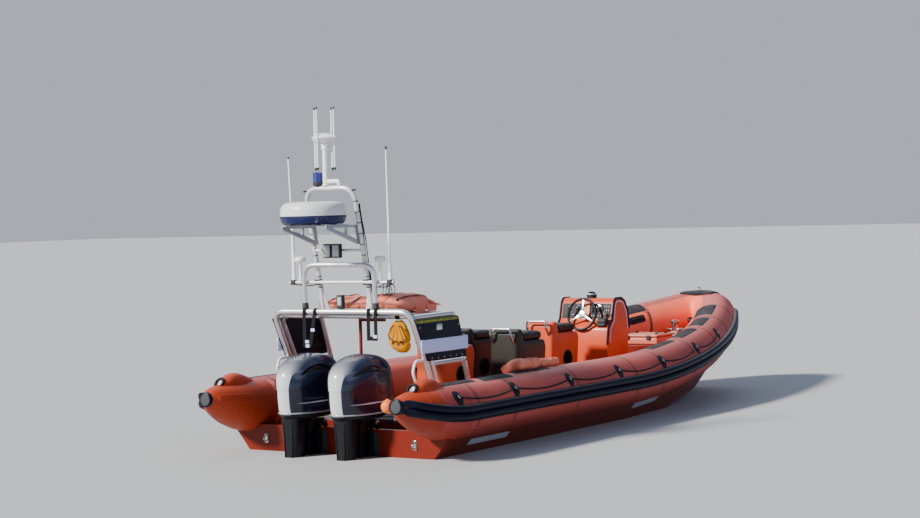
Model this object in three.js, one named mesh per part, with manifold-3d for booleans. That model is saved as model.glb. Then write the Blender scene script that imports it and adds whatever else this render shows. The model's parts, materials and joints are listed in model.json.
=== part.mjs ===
// Inshore rescue boat: a rigid-hulled inflatable with two outboard engines, afloat.
// Millimetres. +X to the bow, +Y to port, +Z up.
// The origin is amidships on the centre line, at the waterline.
import * as THREE from "three";
import { mergeVertices } from "three/addons/utils/BufferGeometryUtils.js";
import Module from "manifold-3d";

const wasm = await Module();
wasm.setup();

// Driving dimensions
const FIT = 0.3; // gap left between two pieces that touch
const TUBE = { radius: 260, halfSpacing: 1125, height: 420, tailX: -3400, chamberX: -300, sides: 20 };
const PLAN = { arcStartX: 69, sideRadius: 8200, noseRadius: 270 };
const SHEER = { rise: 460, startX: -300, lengthX: 4220, power: 1.6 };
const STRAKE = { halfHeight: 68, proud: 40, butt: 62 };
const CONE = { length: 790, tipRadius: 60, tipY: 1090, tipZ: 535 };
const STERN_X = -4220;
const HULL = { transomX: -3600, transomTop: 260, deckZ: 250, foredeckZ: 600 };
const WELL = { frontX: -3080, backX: -3530, halfWidth: 750, floorZ: 100 };
const DECK = { thickness: 30, frontX: 2140, side: 206 };
const DECK_TOP = HULL.deckZ + FIT + DECK.thickness;
const STEP_X = 2150;
const LINER = { aftX: 250, inner: 205.4, outer: 150 };
const FOREDECK = { noseX: 3700 };

const FRAME = { tube: 30, halfWidth: 790, topX: -3520, topZ: 1325, bend: 120 };
const FRAME_FOOT = { aftX: -3020, foreX: -2470, plate: 10, radius: 60, lift: 15 };
const FORE_TOP = { x: -2800, z: 1277 };
const MAST = { tube: 22, halfWidth: 280, baseX: -3390, topX: -3640, topZ: 2480, bend: 150 };
const GUSSET = { top: 190, outer: 62, inner: 84, tip: 26, thickness: 10 };
const STAY = { x: FORE_TOP.x - 10, y: 295, radius: 17, barZ: 1203, barEndY: -8 };
const STERN_LIGHT = { x: FRAME.topX, y: -8, length: 50, width: 70, height: 128 };
const DF = { x: MAST.topX, y: 35, pole: 25, rimZ: 2945, rodRadius: 12, spread: 112 };
const MAST_PIPE = { y: -120, radius: 20, rise: 40, startY: DF.y - DF.pole - FIT };
const BALL = { x: -4050, y: -893.1, z: 519, radius: 62 };
const CROSS_BAR = { z: 1600, aft: 36, halfWidth: 600, tube: 17 };
const LAMP = { z0: 1830, z1: 1962, y: 40, half: 46, gap: 12, depth: 56 };
const RADAR = { x: -3890, bottomZ: 2145, radius: 305, height: 215 };

// An engine is drawn with its tilt tube at tiltX, then moved forward and out to its side
const ENGINE = { halfSpacing: 300, forward: 50, tiltX: -3615, tiltZ: 310, steerX: -3735, propZ: -555 };
const PROP = { radius: 170, hubRadius: 48, frontX: -4088, length: 105, blades: 3, pitch: 0.6 };

// Small helpers
const vec = (x, y, z) => new THREE.Vector3(x, y, z);
const rad = THREE.MathUtils.degToRad;

function signedVolume(geometry) {
  const p = geometry.getAttribute("position");
  const index = geometry.index.array;
  const [a, b, c] = [vec(0, 0, 0), vec(0, 0, 0), vec(0, 0, 0)];
  let sum = 0;
  for (let i = 0; i < index.length; i += 3) {
    a.fromBufferAttribute(p, index[i]);
    b.fromBufferAttribute(p, index[i + 1]);
    c.fromBufferAttribute(p, index[i + 2]);
    sum += a.dot(b.cross(c)) / 6;
  }
  return sum;
}

// A closed shell whose shared corners are merged and whose faces point out
function closed(geometry) {
  for (const name of ["normal", "uv"]) geometry.deleteAttribute(name);
  const merged = mergeVertices(geometry, 1e-3);
  if (signedVolume(merged) < 0) {
    const index = merged.index.array;
    for (let i = 0; i < index.length; i += 3) {
      [index[i], index[i + 1]] = [index[i + 1], index[i]];
    }
  }
  return merged;
}

function toSolid(geometry) {
  const shell = closed(geometry);
  const vertProperties = new Float32Array(shell.getAttribute("position").array);
  const triVerts = new Uint32Array(shell.index.array);
  return new wasm.Manifold(new wasm.Mesh({ numProp: 3, vertProperties, triVerts }));
}

function toGeometry(solid) {
  const mesh = solid.getMesh();
  const geometry = new THREE.BufferGeometry();
  geometry.setAttribute("position", new THREE.BufferAttribute(new Float32Array(mesh.vertProperties), 3));
  geometry.setIndex(new THREE.BufferAttribute(new Uint32Array(mesh.triVerts), 1));
  return geometry;
}

const joined = (geometries) => geometries.map(toSolid).reduce((whole, next) => whole.add(next));
const join = (...geometries) => toGeometry(joined(geometries));
const cut = (geometry, ...tools) => toGeometry(toSolid(geometry).subtract(joined(tools)));

function mirrored(geometry) {
  return closed(geometry.clone().scale(1, -1, 1));
}

// Joins rings of equal point count into one skin and closes the two end rings
function loft(rings) {
  const count = rings[0].length;
  const points = rings.flat();
  const index = [];
  for (let r = 0; r + 1 < rings.length; r++) {
    for (let j = 0; j < count; j++) {
      const [a, b] = [r * count + j, r * count + ((j + 1) % count)];
      index.push(a, b, b + count, a, b + count, a + count);
    }
  }
  const capEnd = (ring, offset, flip) => {
    const normal = vec(0, 0, 0);
    ring.forEach((p, j) => normal.add(p.clone().cross(ring[(j + 1) % count])));
    normal.normalize();
    const side = (Math.abs(normal.z) < 0.9 ? vec(0, 0, 1) : vec(1, 0, 0)).cross(normal).normalize();
    const up = normal.clone().cross(side);
    const flat = ring.map((p) => new THREE.Vector2(p.dot(side), p.dot(up)));
    for (const [a, b, c] of THREE.ShapeUtils.triangulateShape(flat, [])) {
      index.push(...(flip ? [a, c, b] : [a, b, c]).map((k) => offset + k));
    }
  };
  capEnd(rings[0], 0, true);
  capEnd(rings[rings.length - 1], (rings.length - 1) * count, false);
  const geometry = new THREE.BufferGeometry();
  geometry.setAttribute("position", new THREE.Float32BufferAttribute(points.flatMap((p) => p.toArray()), 3));
  geometry.setIndex(index);
  return closed(geometry);
}

// Points of a rounded box outline: power 2 is an ellipse, more is squarer
function superellipse(halfA, halfB, power, count) {
  return Array.from({ length: count }, (_, i) => {
    const t = (2 * Math.PI * (i + 0.5)) / count;
    const shape = (v) => Math.sign(v) * Math.abs(v) ** (2 / power);
    return [halfA * shape(Math.cos(t)), halfB * shape(Math.sin(t))];
  });
}

function box(x0, x1, y0, y1, z0, z1) {
  const geometry = new THREE.BoxGeometry(x1 - x0, y1 - y0, z1 - z0);
  return geometry.translate((x0 + x1) / 2, (y0 + y1) / 2, (z0 + z1) / 2);
}

function rod(from, to, radius, sides = 10, endRadius = radius) {
  const axis = to.clone().sub(from);
  const geometry = new THREE.CylinderGeometry(endRadius, radius, axis.length(), sides);
  const turn = new THREE.Quaternion().setFromUnitVectors(vec(0, 1, 0), axis.clone().normalize());
  return geometry.applyQuaternion(turn).translate(...from.clone().add(to).multiplyScalar(0.5).toArray());
}

// A body turned about the Z axis from [radius, height] points
function turned(profile, sides = 20) {
  const points = profile.map(([r, z]) => new THREE.Vector2(r, z));
  return new THREE.LatheGeometry(points, sides).rotateX(Math.PI / 2);
}

// A round tube through corner points, with each inner corner bent to the given radius
function bentTube(corners, radius, bend, sides = 10) {
  const path = new THREE.CurvePath();
  let start = corners[0];
  for (let i = 1; i + 1 < corners.length; i++) {
    const [before, corner, after] = [corners[i - 1], corners[i], corners[i + 1]];
    const inward = before.clone().sub(corner).normalize();
    const onward = after.clone().sub(corner).normalize();
    const reach = bend / Math.tan(Math.acos(inward.dot(onward)) / 2);
    const entry = corner.clone().addScaledVector(inward, reach);
    const exit = corner.clone().addScaledVector(onward, reach);
    path.add(new THREE.LineCurve3(start, entry));
    path.add(new THREE.QuadraticBezierCurve3(entry, corner, exit));
    start = exit;
  }
  path.add(new THREE.LineCurve3(start, corners[corners.length - 1]));
  const stations = [];
  path.curves.forEach((curve, k) => {
    const steps = curve.isLineCurve3 ? 1 : 4;
    for (let i = k === 0 ? 0 : 1; i <= steps; i++) {
      stations.push({ at: curve.getPoint(i / steps), along: curve.getTangent(i / steps) });
    }
  });
  const plane = vec(0, 0, 0);
  for (let i = 1; i < stations.length; i++) {
    plane.add(stations[i - 1].along.clone().cross(stations[i].along));
  }
  if (plane.lengthSq() < 1e-6) plane.copy(vec(0.3, 0.5, 0.8).cross(stations[0].along));
  plane.normalize();
  return loft(stations.map(({ at, along }) => {
    const side = plane.clone().cross(along).normalize();
    const up = along.clone().cross(side);
    return Array.from({ length: sides }, (_, i) => {
      const t = (2 * Math.PI * i) / sides;
      const [across, above] = [radius * Math.cos(t), radius * Math.sin(t)];
      return at.clone().addScaledVector(side, across).addScaledVector(up, above);
    });
  }));
}

// A flat side outline of [x, z] points, given its thickness across the boat
function sidePlate(outline, y0, y1) {
  const shape = new THREE.Shape(outline.map(([x, z]) => new THREE.Vector2(x, z)));
  const geometry = new THREE.ExtrudeGeometry(shape, { depth: y1 - y0, bevelEnabled: false });
  return geometry.rotateX(Math.PI / 2).translate(0, y1, 0);
}

// A soft block with rounded corners and edges: rings of a rounded outline, smaller at top and bottom
function pillow(size, centre, power = 5, rings = 5, sides = 20) {
  const [length, width, height] = size;
  const [cx, cy, cz] = centre;
  return loft(Array.from({ length: rings }, (_, i) => {
    const level = (2 * i) / (rings - 1) - 1;
    const shrink = 0.8 + 0.2 * Math.sqrt(1 - level * level);
    return superellipse((length / 2) * shrink, (width / 2) * shrink, power, sides)
      .map(([x, y]) => vec(cx + x, cy + y, cz + (level * height) / 2));
  }));
}

// The buoyancy tube's centre line: straight sides, one long arc, then a small arc round the nose
function tubeHeight(x) {
  const along = Math.max(0, (x - SHEER.startX) / SHEER.lengthX);
  return TUBE.height + SHEER.rise * along ** SHEER.power;
}

const shoulder = Math.acos((PLAN.sideRadius - TUBE.halfSpacing) / (PLAN.sideRadius - PLAN.noseRadius));

function planPoint(heading) {
  const onSide = Math.min(heading, shoulder);
  let x = PLAN.arcStartX + PLAN.sideRadius * Math.sin(onSide);
  let y = TUBE.halfSpacing - PLAN.sideRadius * (1 - Math.cos(onSide));
  if (heading > shoulder) {
    x += PLAN.noseRadius * (Math.sin(heading) - Math.sin(shoulder));
    y -= PLAN.noseRadius * (Math.cos(shoulder) - Math.cos(heading));
  }
  return { x, y, z: tubeHeight(x), heading };
}

// Half breadth of the centre line at a place along the boat
function tubeSide(x) {
  if (x <= PLAN.arcStartX) return TUBE.halfSpacing;
  const limit = planPoint(shoulder).x;
  if (x <= limit) {
    const along = x - PLAN.arcStartX;
    return TUBE.halfSpacing - PLAN.sideRadius + Math.sqrt(PLAN.sideRadius ** 2 - along ** 2);
  }
  const sine = Math.min(1, Math.sin(shoulder) + (x - limit) / PLAN.noseRadius);
  return PLAN.noseRadius * Math.sqrt(1 - sine ** 2);
}

// Stations along the port side, from the tail to the nose
function tubeStations(sideSteps = 8, noseSteps = 5) {
  const straight = [TUBE.tailX, TUBE.chamberX, PLAN.arcStartX].map((x) => (
    { x, y: TUBE.halfSpacing, z: tubeHeight(x), heading: 0 }));
  const side = Array.from({ length: sideSteps }, (_, i) => planPoint((shoulder * (i + 1)) / sideSteps));
  const nose = Array.from({ length: noseSteps }, (_, i) => (
    planPoint(shoulder + ((Math.PI / 2 - shoulder) * (i + 1)) / noseSteps)));
  return [...straight, ...side, ...nose];
}

// Sweeps sections of [outward, up] points along stations, ending at a plane beside the centre line
function sweep(stations, sectionAt, endY = FIT / 2) {
  const last = stations.length - 1;
  return loft(stations.map((s, i) => sectionAt(s, i).map(([out, up]) => {
    const y = i === last ? endY : Math.max(s.y + out * Math.cos(s.heading), endY);
    return vec(s.x + out * Math.sin(s.heading), y, s.z + up);
  })));
}

const circle = (radius, count = TUBE.sides) => superellipse(radius, radius, 2, count);
const tube = (grow = 0) => sweep(tubeStations(), () => circle(TUBE.radius + grow));

// The straight aft chamber of the tube, and the curved fore chamber that reaches the nose
const aftChamber = () => loft([TUBE.tailX, TUBE.chamberX - FIT].map((x) => (
  circle(TUBE.radius).map(([y, z]) => vec(x, TUBE.halfSpacing + y, TUBE.height + z)))));
const foreChamber = () => sweep(tubeStations().slice(1), () => circle(TUBE.radius));

// The rounded tail cone: full section at the tube, closing on a small flat end
const coneRadius = (t) => CONE.tipRadius + (TUBE.radius - CONE.tipRadius) * Math.max(0, 1 - t * t) ** 0.75;

function coneCentre(t) {
  return {
    x: TUBE.tailX - t * CONE.length,
    y: TUBE.halfSpacing + (CONE.tipY - TUBE.halfSpacing) * t * t,
    z: TUBE.height + (CONE.tipZ - TUBE.height) * t * t,
  };
}

function tailCone(grow = 0) {
  const steps = [0, 0.25, 0.45, 0.62, 0.76, 0.87, 0.95, 1];
  return loft(steps.map((t, i) => {
    const c = coneCentre(t);
    const x = i === 0 ? c.x - FIT + grow : c.x;
    return circle(coneRadius(t) + grow).map(([y, z]) => vec(x, c.y + y, c.z + z));
  }));
}

// Both tubes and both tail cones, grown outwards by the given gap
const collar = (grow) => [tube(grow), tailCone(grow)].flatMap((half) => [half, mirrored(half)]);

// The black rubbing strake: a rounded bar along the tube's outer side, ending in a round butt at the tail
function strakeSide() {
  const tail = [1, 0.96, 0.88, 0.74, 0.5, 0.2].map((t) => {
    const c = coneCentre(t);
    if (t === 1) return { ...c, x: STERN_X, heading: 0, depth: STRAKE.butt };
    const depth = STRAKE.proud + 10;
    return { ...c, y: c.y + coneRadius(t) + STRAKE.proud - depth, heading: 0, depth };
  });
  const along = tubeStations().map((s) => ({
    ...s,
    x: s.x + TUBE.radius * Math.sin(s.heading),
    y: s.y + TUBE.radius * Math.cos(s.heading),
    depth: STRAKE.proud,
  }));
  return sweep([...tail, ...along], (s) => superellipse(s.depth, STRAKE.halfHeight, 2.6, 10), -1);
}

function rubbingStrake() {
  const sides = joined([strakeSide(), mirrored(strakeSide())]);
  return toGeometry(sides.subtract(joined([...collar(FIT), noseFill()])));
}

// Fills the narrow gap between the two tubes at the nose, for cutting what wraps round it
function noseFill() {
  const nose = planPoint(Math.PI / 2);
  return rod(vec(nose.x, -2, nose.z), vec(nose.x, 2, nose.z), TUBE.radius + FIT, TUBE.sides);
}

// Rigid hull. Each station: x, keel height, chine half breadth, chine height
const HULL_STATIONS = [
  { x: HULL.transomX, keel: -450, chineY: 1010, chineZ: -70 },
  { x: -1500, keel: -450, chineY: 1020, chineZ: -60 },
  { x: 0, keel: -450, chineY: 1010, chineZ: -40 },
  { x: 1200, keel: -440, chineY: 930, chineZ: 20 },
  { x: STEP_X, keel: -390, chineY: 770, chineZ: 130 },
  { x: 2900, keel: -270, chineY: 560, chineZ: 280 },
  { x: 3130, keel: -185, chineY: 472, chineZ: 346 },
  { x: 3350, keel: -90, chineY: 380, chineZ: 410 },
  { x: 3500, keel: 30, chineY: 292, chineZ: 466 },
  { x: 3650, keel: 160, chineY: 200, chineZ: 520 },
  { x: FOREDECK.noseX, keel: 231, chineY: 163, chineZ: 538 },
  { x: 3840, keel: 430, chineY: 60, chineZ: 590 },
];

// Half breadth and height of the hull's flat top. Where the stem rises it stays above the chine
function hullTop({ x, chineY, chineZ }) {
  const [y, edgeY, edgeZ] = [tubeSide(x) - LINER.outer + 24, tubeSide(x) + 95, tubeHeight(x) - 238];
  const overChine = edgeZ - ((edgeZ - chineZ - 30) * (edgeY - y)) / (edgeY - chineY);
  return [y, Math.max(HULL.deckZ, overChine)];
}

function hull() {
  const rings = HULL_STATIONS.map((station) => {
    const { x, keel, chineY, chineZ } = station;
    const half = [[chineY, chineZ], [tubeSide(x) + 95, tubeHeight(x) - 238], hullTop(station)];
    const port = half.map(([y, z]) => vec(x, y, z));
    const starboard = half.map(([y, z]) => vec(x, -y, z)).reverse();
    return [vec(x, 0, keel), ...port, ...starboard];
  });
  const splashWell = box(WELL.backX, WELL.frontX, -WELL.halfWidth, WELL.halfWidth, WELL.floorZ, 400);
  const transomTop = box(HULL.transomX - 50, WELL.backX + 1, -WELL.halfWidth, WELL.halfWidth,
    HULL.transomTop, 400);
  const seam = box(TUBE.tailX - 2, TUBE.tailX + 2, 900, 1350, TUBE.height - TUBE.radius + 20, 600);
  return cut(loft(rings), ...collar(FIT), seam, mirrored(seam), noseFill(), splashWell, transomTop);
}

// The raised foredeck, with a liner that runs aft on each side between the deck's edge and the tube
function foredeck() {
  const base = HULL.deckZ + FIT;
  const strip = loft([LINER.aftX, 1200, DECK.frontX, STEP_X + 30].map((x) => {
    const [inner, outer] = [tubeSide(x) - LINER.inner, tubeSide(x) - LINER.outer];
    const top = tubeHeight(x) - 100;
    return [vec(x, inner, base), vec(x, outer, base), vec(x, outer, top), vec(x, inner, top)];
  }));
  const under = HULL_STATIONS.filter(({ x }) => x >= STEP_X && x <= FOREDECK.noseX);
  const block = loft(under.map((station) => {
    const { x } = station;
    const half = tubeSide(x) - LINER.outer;
    const [bottom, top] = [hullTop(station)[1] + FIT, HULL.foredeckZ];
    return [vec(x, -half, bottom), vec(x, half, bottom), vec(x, half, top), vec(x, -half, top)];
  }));
  return cut(join(block, strip, mirrored(strip)), ...collar(FIT));
}

function deckPlate() {
  const outline = [WELL.frontX, 0, 1200, DECK.frontX].map((x) => [x, tubeSide(x) - DECK.side]);
  const shape = new THREE.Shape([
    ...outline.map(([x, y]) => new THREE.Vector2(x, -y)),
    ...outline.reverse().map(([x, y]) => new THREE.Vector2(x, y)),
  ]);
  const plate = new THREE.ExtrudeGeometry(shape, { depth: DECK.thickness, bevelEnabled: false });
  plate.translate(0, 0, HULL.deckZ + FIT);
  return cut(plate, tube(FIT), mirrored(tube(FIT)));
}

// The soft cap on the nose, above the strake
function bowCap() {
  const nose = planPoint(Math.PI / 2);
  const skin = sweep(tubeStations(), () => circle(TUBE.radius + 22), -1);
  const bottom = nose.z + STRAKE.halfHeight + 12;
  const keep = toSolid(box(nose.x - 150, nose.x + 300, -215, 215, bottom, nose.z + 400));
  const core = joined([tube(FIT), mirrored(tube(FIT)), noseFill()]);
  return toGeometry(joined([skin, mirrored(skin)]).intersect(keep).subtract(core));
}

// Console: side outline, as x, z, from the aft foot round over the top
const CONSOLE = [
  [960, 0], [930, 420], [960, 600], [1050, 690], [1100, 880], [1140, 925], [1270, 925],
  [1340, 890], [1410, 780], [1440, 580], [1400, 300], [1330, 0],
];
const WHEEL = { faceX: 1060, faceZ: 1010, lean: 75, radius: 175, standoff: 95 };

function consoleBody() {
  const outline = CONSOLE.map(([x, z]) => [x, z + DECK_TOP + FIT]);
  return sidePlate(outline, -340, 340);
}

// The wheel and its shaft, drawn along +Z from the console's face
function helmWheel() {
  const { radius, standoff } = WHEEL;
  const rim = new THREE.TorusGeometry(radius, 15, 6, 24).translate(0, 0, standoff);
  const shaft = rod(vec(0, 0, FIT), vec(0, 0, standoff - 15), 24, 16);
  const hub = rod(vec(0, 0, standoff - 22), vec(0, 0, standoff + 12), 42, 16);
  const spokes = [90, 210, 330].map((turn) => (
    new THREE.BoxGeometry(radius - 5, 26, 9).translate(radius / 2 + 5, 0, standoff).rotateZ(rad(turn))));
  return join(rim, shaft, hub, ...spokes);
}

function compass() {
  const profile = [[0, 0], [58, 0], [62, 22], [52, 34], [44, 58], [24, 74], [0, 80]];
  return turned(profile).translate(1200, 0, DECK_TOP + 925 + 2 * FIT);
}

// Straddle seats: pod, side outline as x, z from its own aft foot
const SEAT_POD = [
  [40, 0], [0, 300], [20, 700], [130, 740], [170, 600], [570, 600], [600, 520], [560, 250], [520, 0],
];
const SEATS = [
  { name: "helm_seat", x: 20, y: 0, color: 0xc2502c },
  { name: "port_crew_seat", x: -1180, y: 300, color: 0x8f9398 },
  { name: "starboard_crew_seat", x: -1180, y: -300, color: 0x8f9398 },
  { name: "aft_seat", x: -2080, y: 0, color: 0x8f9398 },
];

function seatPod(seat) {
  const outline = SEAT_POD.map(([x, z]) => [seat.x + x, DECK_TOP + FIT + z]);
  return sidePlate(outline, seat.y - 165, seat.y + 165);
}

function seatCushion(seat) {
  const base = DECK_TOP + FIT + 600 + FIT;
  return pillow([390, 320, 90], [seat.x + 372, seat.y, base + 45]);
}

function bowBox() {
  const side = HULL.foredeckZ + FIT;
  return pillow([460, 520, 120], [2480, 0, side + 60], 8, 3, 16);
}

function bollard() {
  const base = HULL.foredeckZ + FIT;
  const post = [[0, 0], [95, 0], [95, 14], [42, 24], [38, 190], [60, 215], [60, 236], [0, 236]];
  const horn = rod(vec(0, -115, 120), vec(0, 115, 120), 16, 10);
  return join(turned(post), horn).translate(3200, 0, base);
}

// Aluminium frame over the stern: two hoops close together, side frames, a fore bar and feet on the deck
function rollBar() {
  const { tube: r, halfWidth: w, topX, topZ, bend } = FRAME;
  const foot = DECK_TOP + FIT;
  const legEnd = foot + FRAME_FOOT.lift;
  const hoop = (dx, dz, radius) => bentTube([
    vec(FRAME_FOOT.aftX + dx, -w, legEnd), vec(topX + dx, -w, topZ + dz),
    vec(topX + dx, w, topZ + dz), vec(FRAME_FOOT.aftX + dx, w, legEnd),
  ], radius, bend);
  const sides = [-1, 1].flatMap((s) => {
    const at = (x, z) => vec(x, s * w, z);
    const feet = [FRAME_FOOT.aftX + 50, FRAME_FOOT.foreX].map((x) => vec(x, s * (w - 15), foot));
    const [mastY, mastZ] = [s * MAST.halfWidth, FORE_TOP.z + 8];
    return [
      bentTube([at(topX + 55, FORE_TOP.z - 6), at(FORE_TOP.x, FORE_TOP.z), at(FRAME_FOOT.foreX, legEnd)],
        r - 4, bend),
      rod(at(-3260, 830), at(-2650, 830), r - 8),
      rod(vec(topX + 20, mastY, mastZ), vec(FORE_TOP.x, mastY, mastZ), 20),
      ...feet.map((p) => rod(p, vec(p.x, p.y, foot + FRAME_FOOT.plate), FRAME_FOOT.radius, 16)),
    ];
  });
  const [barX, barZ] = [FORE_TOP.x - 10, FORE_TOP.z - 4];
  const foreBar = rod(vec(barX, -w, barZ), vec(barX, w, barZ), r - 6);
  return join(hoop(0, 0, r), hoop(100, -45, r - 6), ...sides, foreBar);
}

function sternFrame() {
  const base = FRAME.topZ + FRAME.tube + FIT;
  const [half, top, x] = [408, 1765, FRAME.topX];
  const arch = bentTube([vec(x, -half, base + 1), vec(x - 15, -half, top), vec(x - 15, half, top),
    vec(x, half, base + 1)], 24, 130);
  const feet = [-1, 1].map((s) => rod(vec(x, s * half, base), vec(x, s * half, base + 10), 34, 16));
  return join(arch, ...feet);
}

const MAST_BASE = FORE_TOP.z + 28 + FIT;

function mastX(z) {
  return MAST.baseX + ((MAST.topX - MAST.baseX) * (z - MAST_BASE)) / (MAST.topZ - MAST_BASE);
}

const crossX = () => mastX(CROSS_BAR.z) - CROSS_BAR.aft;

function mastArch() {
  const { tube: r, halfWidth: w, bend } = MAST;
  const arch = bentTube([vec(MAST.baseX, -w, MAST_BASE + 8), vec(MAST.topX, -w, MAST.topZ),
    vec(MAST.topX, w, MAST.topZ), vec(MAST.baseX, w, MAST_BASE + 8)], r, bend);
  const barX = crossX();
  const bar = rod(vec(barX, -CROSS_BAR.halfWidth, CROSS_BAR.z), vec(barX, CROSS_BAR.halfWidth, CROSS_BAR.z),
    CROSS_BAR.tube);
  const lampBar = rod(vec(mastX(1900), -w, 1900), vec(mastX(1900), w, 1900), 14);
  const feet = [-1, 1].map((s) => (
    rod(vec(MAST.baseX, s * w, MAST_BASE), vec(MAST.baseX, s * w, MAST_BASE + 10), 36, 16)));
  return join(arch, bar, lampBar, ...feet, ...[-1, 1].map(mastGusset));
}

// The flat plate that braces a mast leg's foot, leaning with the leg
function mastGusset(side) {
  const ring = (z, inner, outer) => {
    const [x, y] = [mastX(z), MAST.halfWidth];
    const [aft, fore] = [x - GUSSET.thickness / 2, x + GUSSET.thickness / 2];
    return [vec(aft, side * (y - inner), z), vec(fore, side * (y - inner), z),
      vec(fore, side * (y + outer), z), vec(aft, side * (y + outer), z)];
  };
  return loft([ring(MAST_BASE + 2, GUSSET.inner, GUSSET.outer),
    ring(MAST_BASE + GUSSET.top, GUSSET.tip, GUSSET.tip)]);
}

// Two triangular arms that carry the radar behind the mast, with the plate that joins them
function radarBracket() {
  const top = RADAR.bottomZ - FIT;
  const arms = [-1, 1].map((s) => {
    const inner = MAST.halfWidth - MAST.tube - FIT - 14;
    const [y0, y1] = s > 0 ? [inner, inner + 14] : [-inner - 14, -inner];
    const [high, low] = [mastX(top - 12), mastX(top - 180)];
    return sidePlate([[high + 30, top - 10], [low + 30, top - 190], [low - 30, top - 190],
      [RADAR.x - 150, top - 40], [RADAR.x - 150, top - 10]], y0, y1);
  });
  const plate = box(RADAR.x - 150, RADAR.x + 190, -MAST.halfWidth + 22 + FIT, MAST.halfWidth - 22 - FIT,
    top - 12, top);
  return join(...arms, plate);
}

function radarDome() {
  const { radius: r, height: h } = RADAR;
  const outline = [[0, 0], [r - 70, 0], [r - 22, 26], [r, 62], [r, 100], [r - 14, 146], [r - 50, 188],
    [r - 120, 208], [0, h]];
  return turned(outline, 36).translate(RADAR.x, 0, RADAR.bottomZ);
}

// Two lamps on the aft side of the lamp bar, with the plate that carries them
function floodlights() {
  const x = mastX(1900) - 14 - FIT;
  const bodies = [-1, 1].map((s) => {
    const y = LAMP.y + s * (LAMP.half + LAMP.gap / 2);
    return box(x - LAMP.depth, x - 6, y - LAMP.half, y + LAMP.half, LAMP.z0, LAMP.z1);
  });
  return join(...bodies, box(x - 12, x, LAMP.y - 70, LAMP.y + 70, 1880, 1920));
}

// Direction-finding aerial: a pole, a shallow dome and four upright rods on short arms
function dfAerial() {
  const base = MAST.topZ + MAST.tube + FIT;
  const dome = [[0, 0], [36, 0], [60, 30], [120, 42], [124, 50], [60, 82], [0, 92]];
  const rods = [0, 90, 180, 270].map((turn) => {
    const at = vec(DF.spread * Math.cos(rad(turn)), DF.spread * Math.sin(rad(turn)), 0);
    return rod(vec(at.x, at.y, -255), vec(at.x, at.y, 330), DF.rodRadius, 10);
  });
  const head = join(turned(dome, 28), ...rods).translate(DF.x, DF.y, DF.rimZ - 45);
  const pole = rod(vec(DF.x, DF.y, base), vec(DF.x, DF.y, DF.rimZ - 30), DF.pole, 16);
  const socket = rod(vec(DF.x, DF.y, DF.rimZ - 110), vec(DF.x, DF.y, DF.rimZ - 50), 36, 16);
  return join(head, pole, socket);
}

function blueLight() {
  const base = MAST.topZ + MAST.tube + FIT;
  const profile = [[0, 0], [34, 0], [46, 12], [46, 118], [38, 126], [0, 130]];
  return turned(profile).translate(MAST.topX, 128, base);
}

// The cable pipe that leaves the aerial's pole and turns down to the arch
function mastPipe() {
  const base = MAST.topZ + MAST.tube + FIT;
  const { y, radius, rise, startY } = MAST_PIPE;
  const at = (y1, z) => vec(MAST.topX, y1, z);
  return bentTube([at(startY, base + rise), at(y, base + rise), at(y, base)], radius, 32);
}

function sternLight() {
  const { x, y, length, width, height } = STERN_LIGHT;
  const base = FRAME.topZ + FRAME.tube + FIT;
  return box(x - length / 2, x + length / 2, y - width / 2, y + width / 2, base, base + height);
}

// A post from the deck to the fore bar, with a short bar across near its top
function stayPost() {
  const { x, y, radius, barZ, barEndY } = STAY;
  const foot = DECK_TOP + FIT;
  const top = FORE_TOP.z - 4 - (FRAME.tube - 6) - FIT;
  const post = rod(vec(x, y, foot), vec(x, y, top), radius, 14);
  const bar = rod(vec(x, y, barZ), vec(x, barEndY, barZ), 14, 12);
  const plate = rod(vec(x, y, foot), vec(x, y, foot + 8), 42, 16);
  return join(post, bar, plate);
}

function fenderBall() {
  const { x, y, z, radius } = BALL;
  return new THREE.SphereGeometry(radius, 16, 10).rotateX(Math.PI / 2).translate(x, y, z);
}

// Whip aerials and round aerials stand on the cross bar
function whip(side, topZ, poleTop) {
  const base = CROSS_BAR.z + CROSS_BAR.tube + FIT;
  const [x, y] = [crossX(), side * 560];
  return join(rod(vec(x, y, base), vec(x, y, poleTop), 20, 12),
    rod(vec(x, y, poleTop - 5), vec(x - 25, y + side * 8, topZ), 13, 10, 9));
}

function roundAerial(y) {
  const base = CROSS_BAR.z + CROSS_BAR.tube + FIT;
  const profile = [[0, 0], [22, 0], [14, 30], [14, 165], [48, 180], [52, 205], [40, 222], [0, 228]];
  return turned(profile).translate(crossX(), y, base);
}

// Outboard engine pieces
function bracket() {
  const { tiltX: x, tiltZ: z } = ENGINE;
  const outline = [[x - 60, z - 440], [x - 36, z - 440], [x - 35 - FIT, z - 50], [x + 35 + FIT, z - 50],
    [x + 35 + FIT, z - 170], [x + 58, z - 170], [x + 60, z - 38], [x + 26, z + 18], [x, z + 28],
    [x - 28, z + 16], [x - 95, z - 90], [x - 95, z - 330]];
  const plates = [-1, 1].map((s) => (s > 0 ? sidePlate(outline, 75, 103) : sidePlate(outline, -103, -75)));
  const ties = [box(x - 53, x - 35 - FIT, -103, 103, z - 440, z - 400)];
  const bore = rod(vec(x, -120, z), vec(x, 120, z), 17.8, 20);
  return cut(join(...plates, ...ties), bore);
}

function swivel() {
  const { tiltX: x, tiltZ: z, steerX } = ENGINE;
  const body = box(steerX - 62, steerX + 62, -60, 60, -118, 318);
  const ears = sidePlate([
    [steerX, z - 120], [x - 40, z - 40], [x + 16, z - 24], [x + 22, z + 12], [x, z + 24], [steerX, z + 8],
  ], -60, 60);
  const tiltTube = rod(vec(x, -118, z), vec(x, 118, z), 17.5, 20);
  const bosses = rod(vec(steerX, 0, -132), vec(steerX, 0, 332), 34, 18);
  return join(body, ears, tiltTube, bosses);
}

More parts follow.
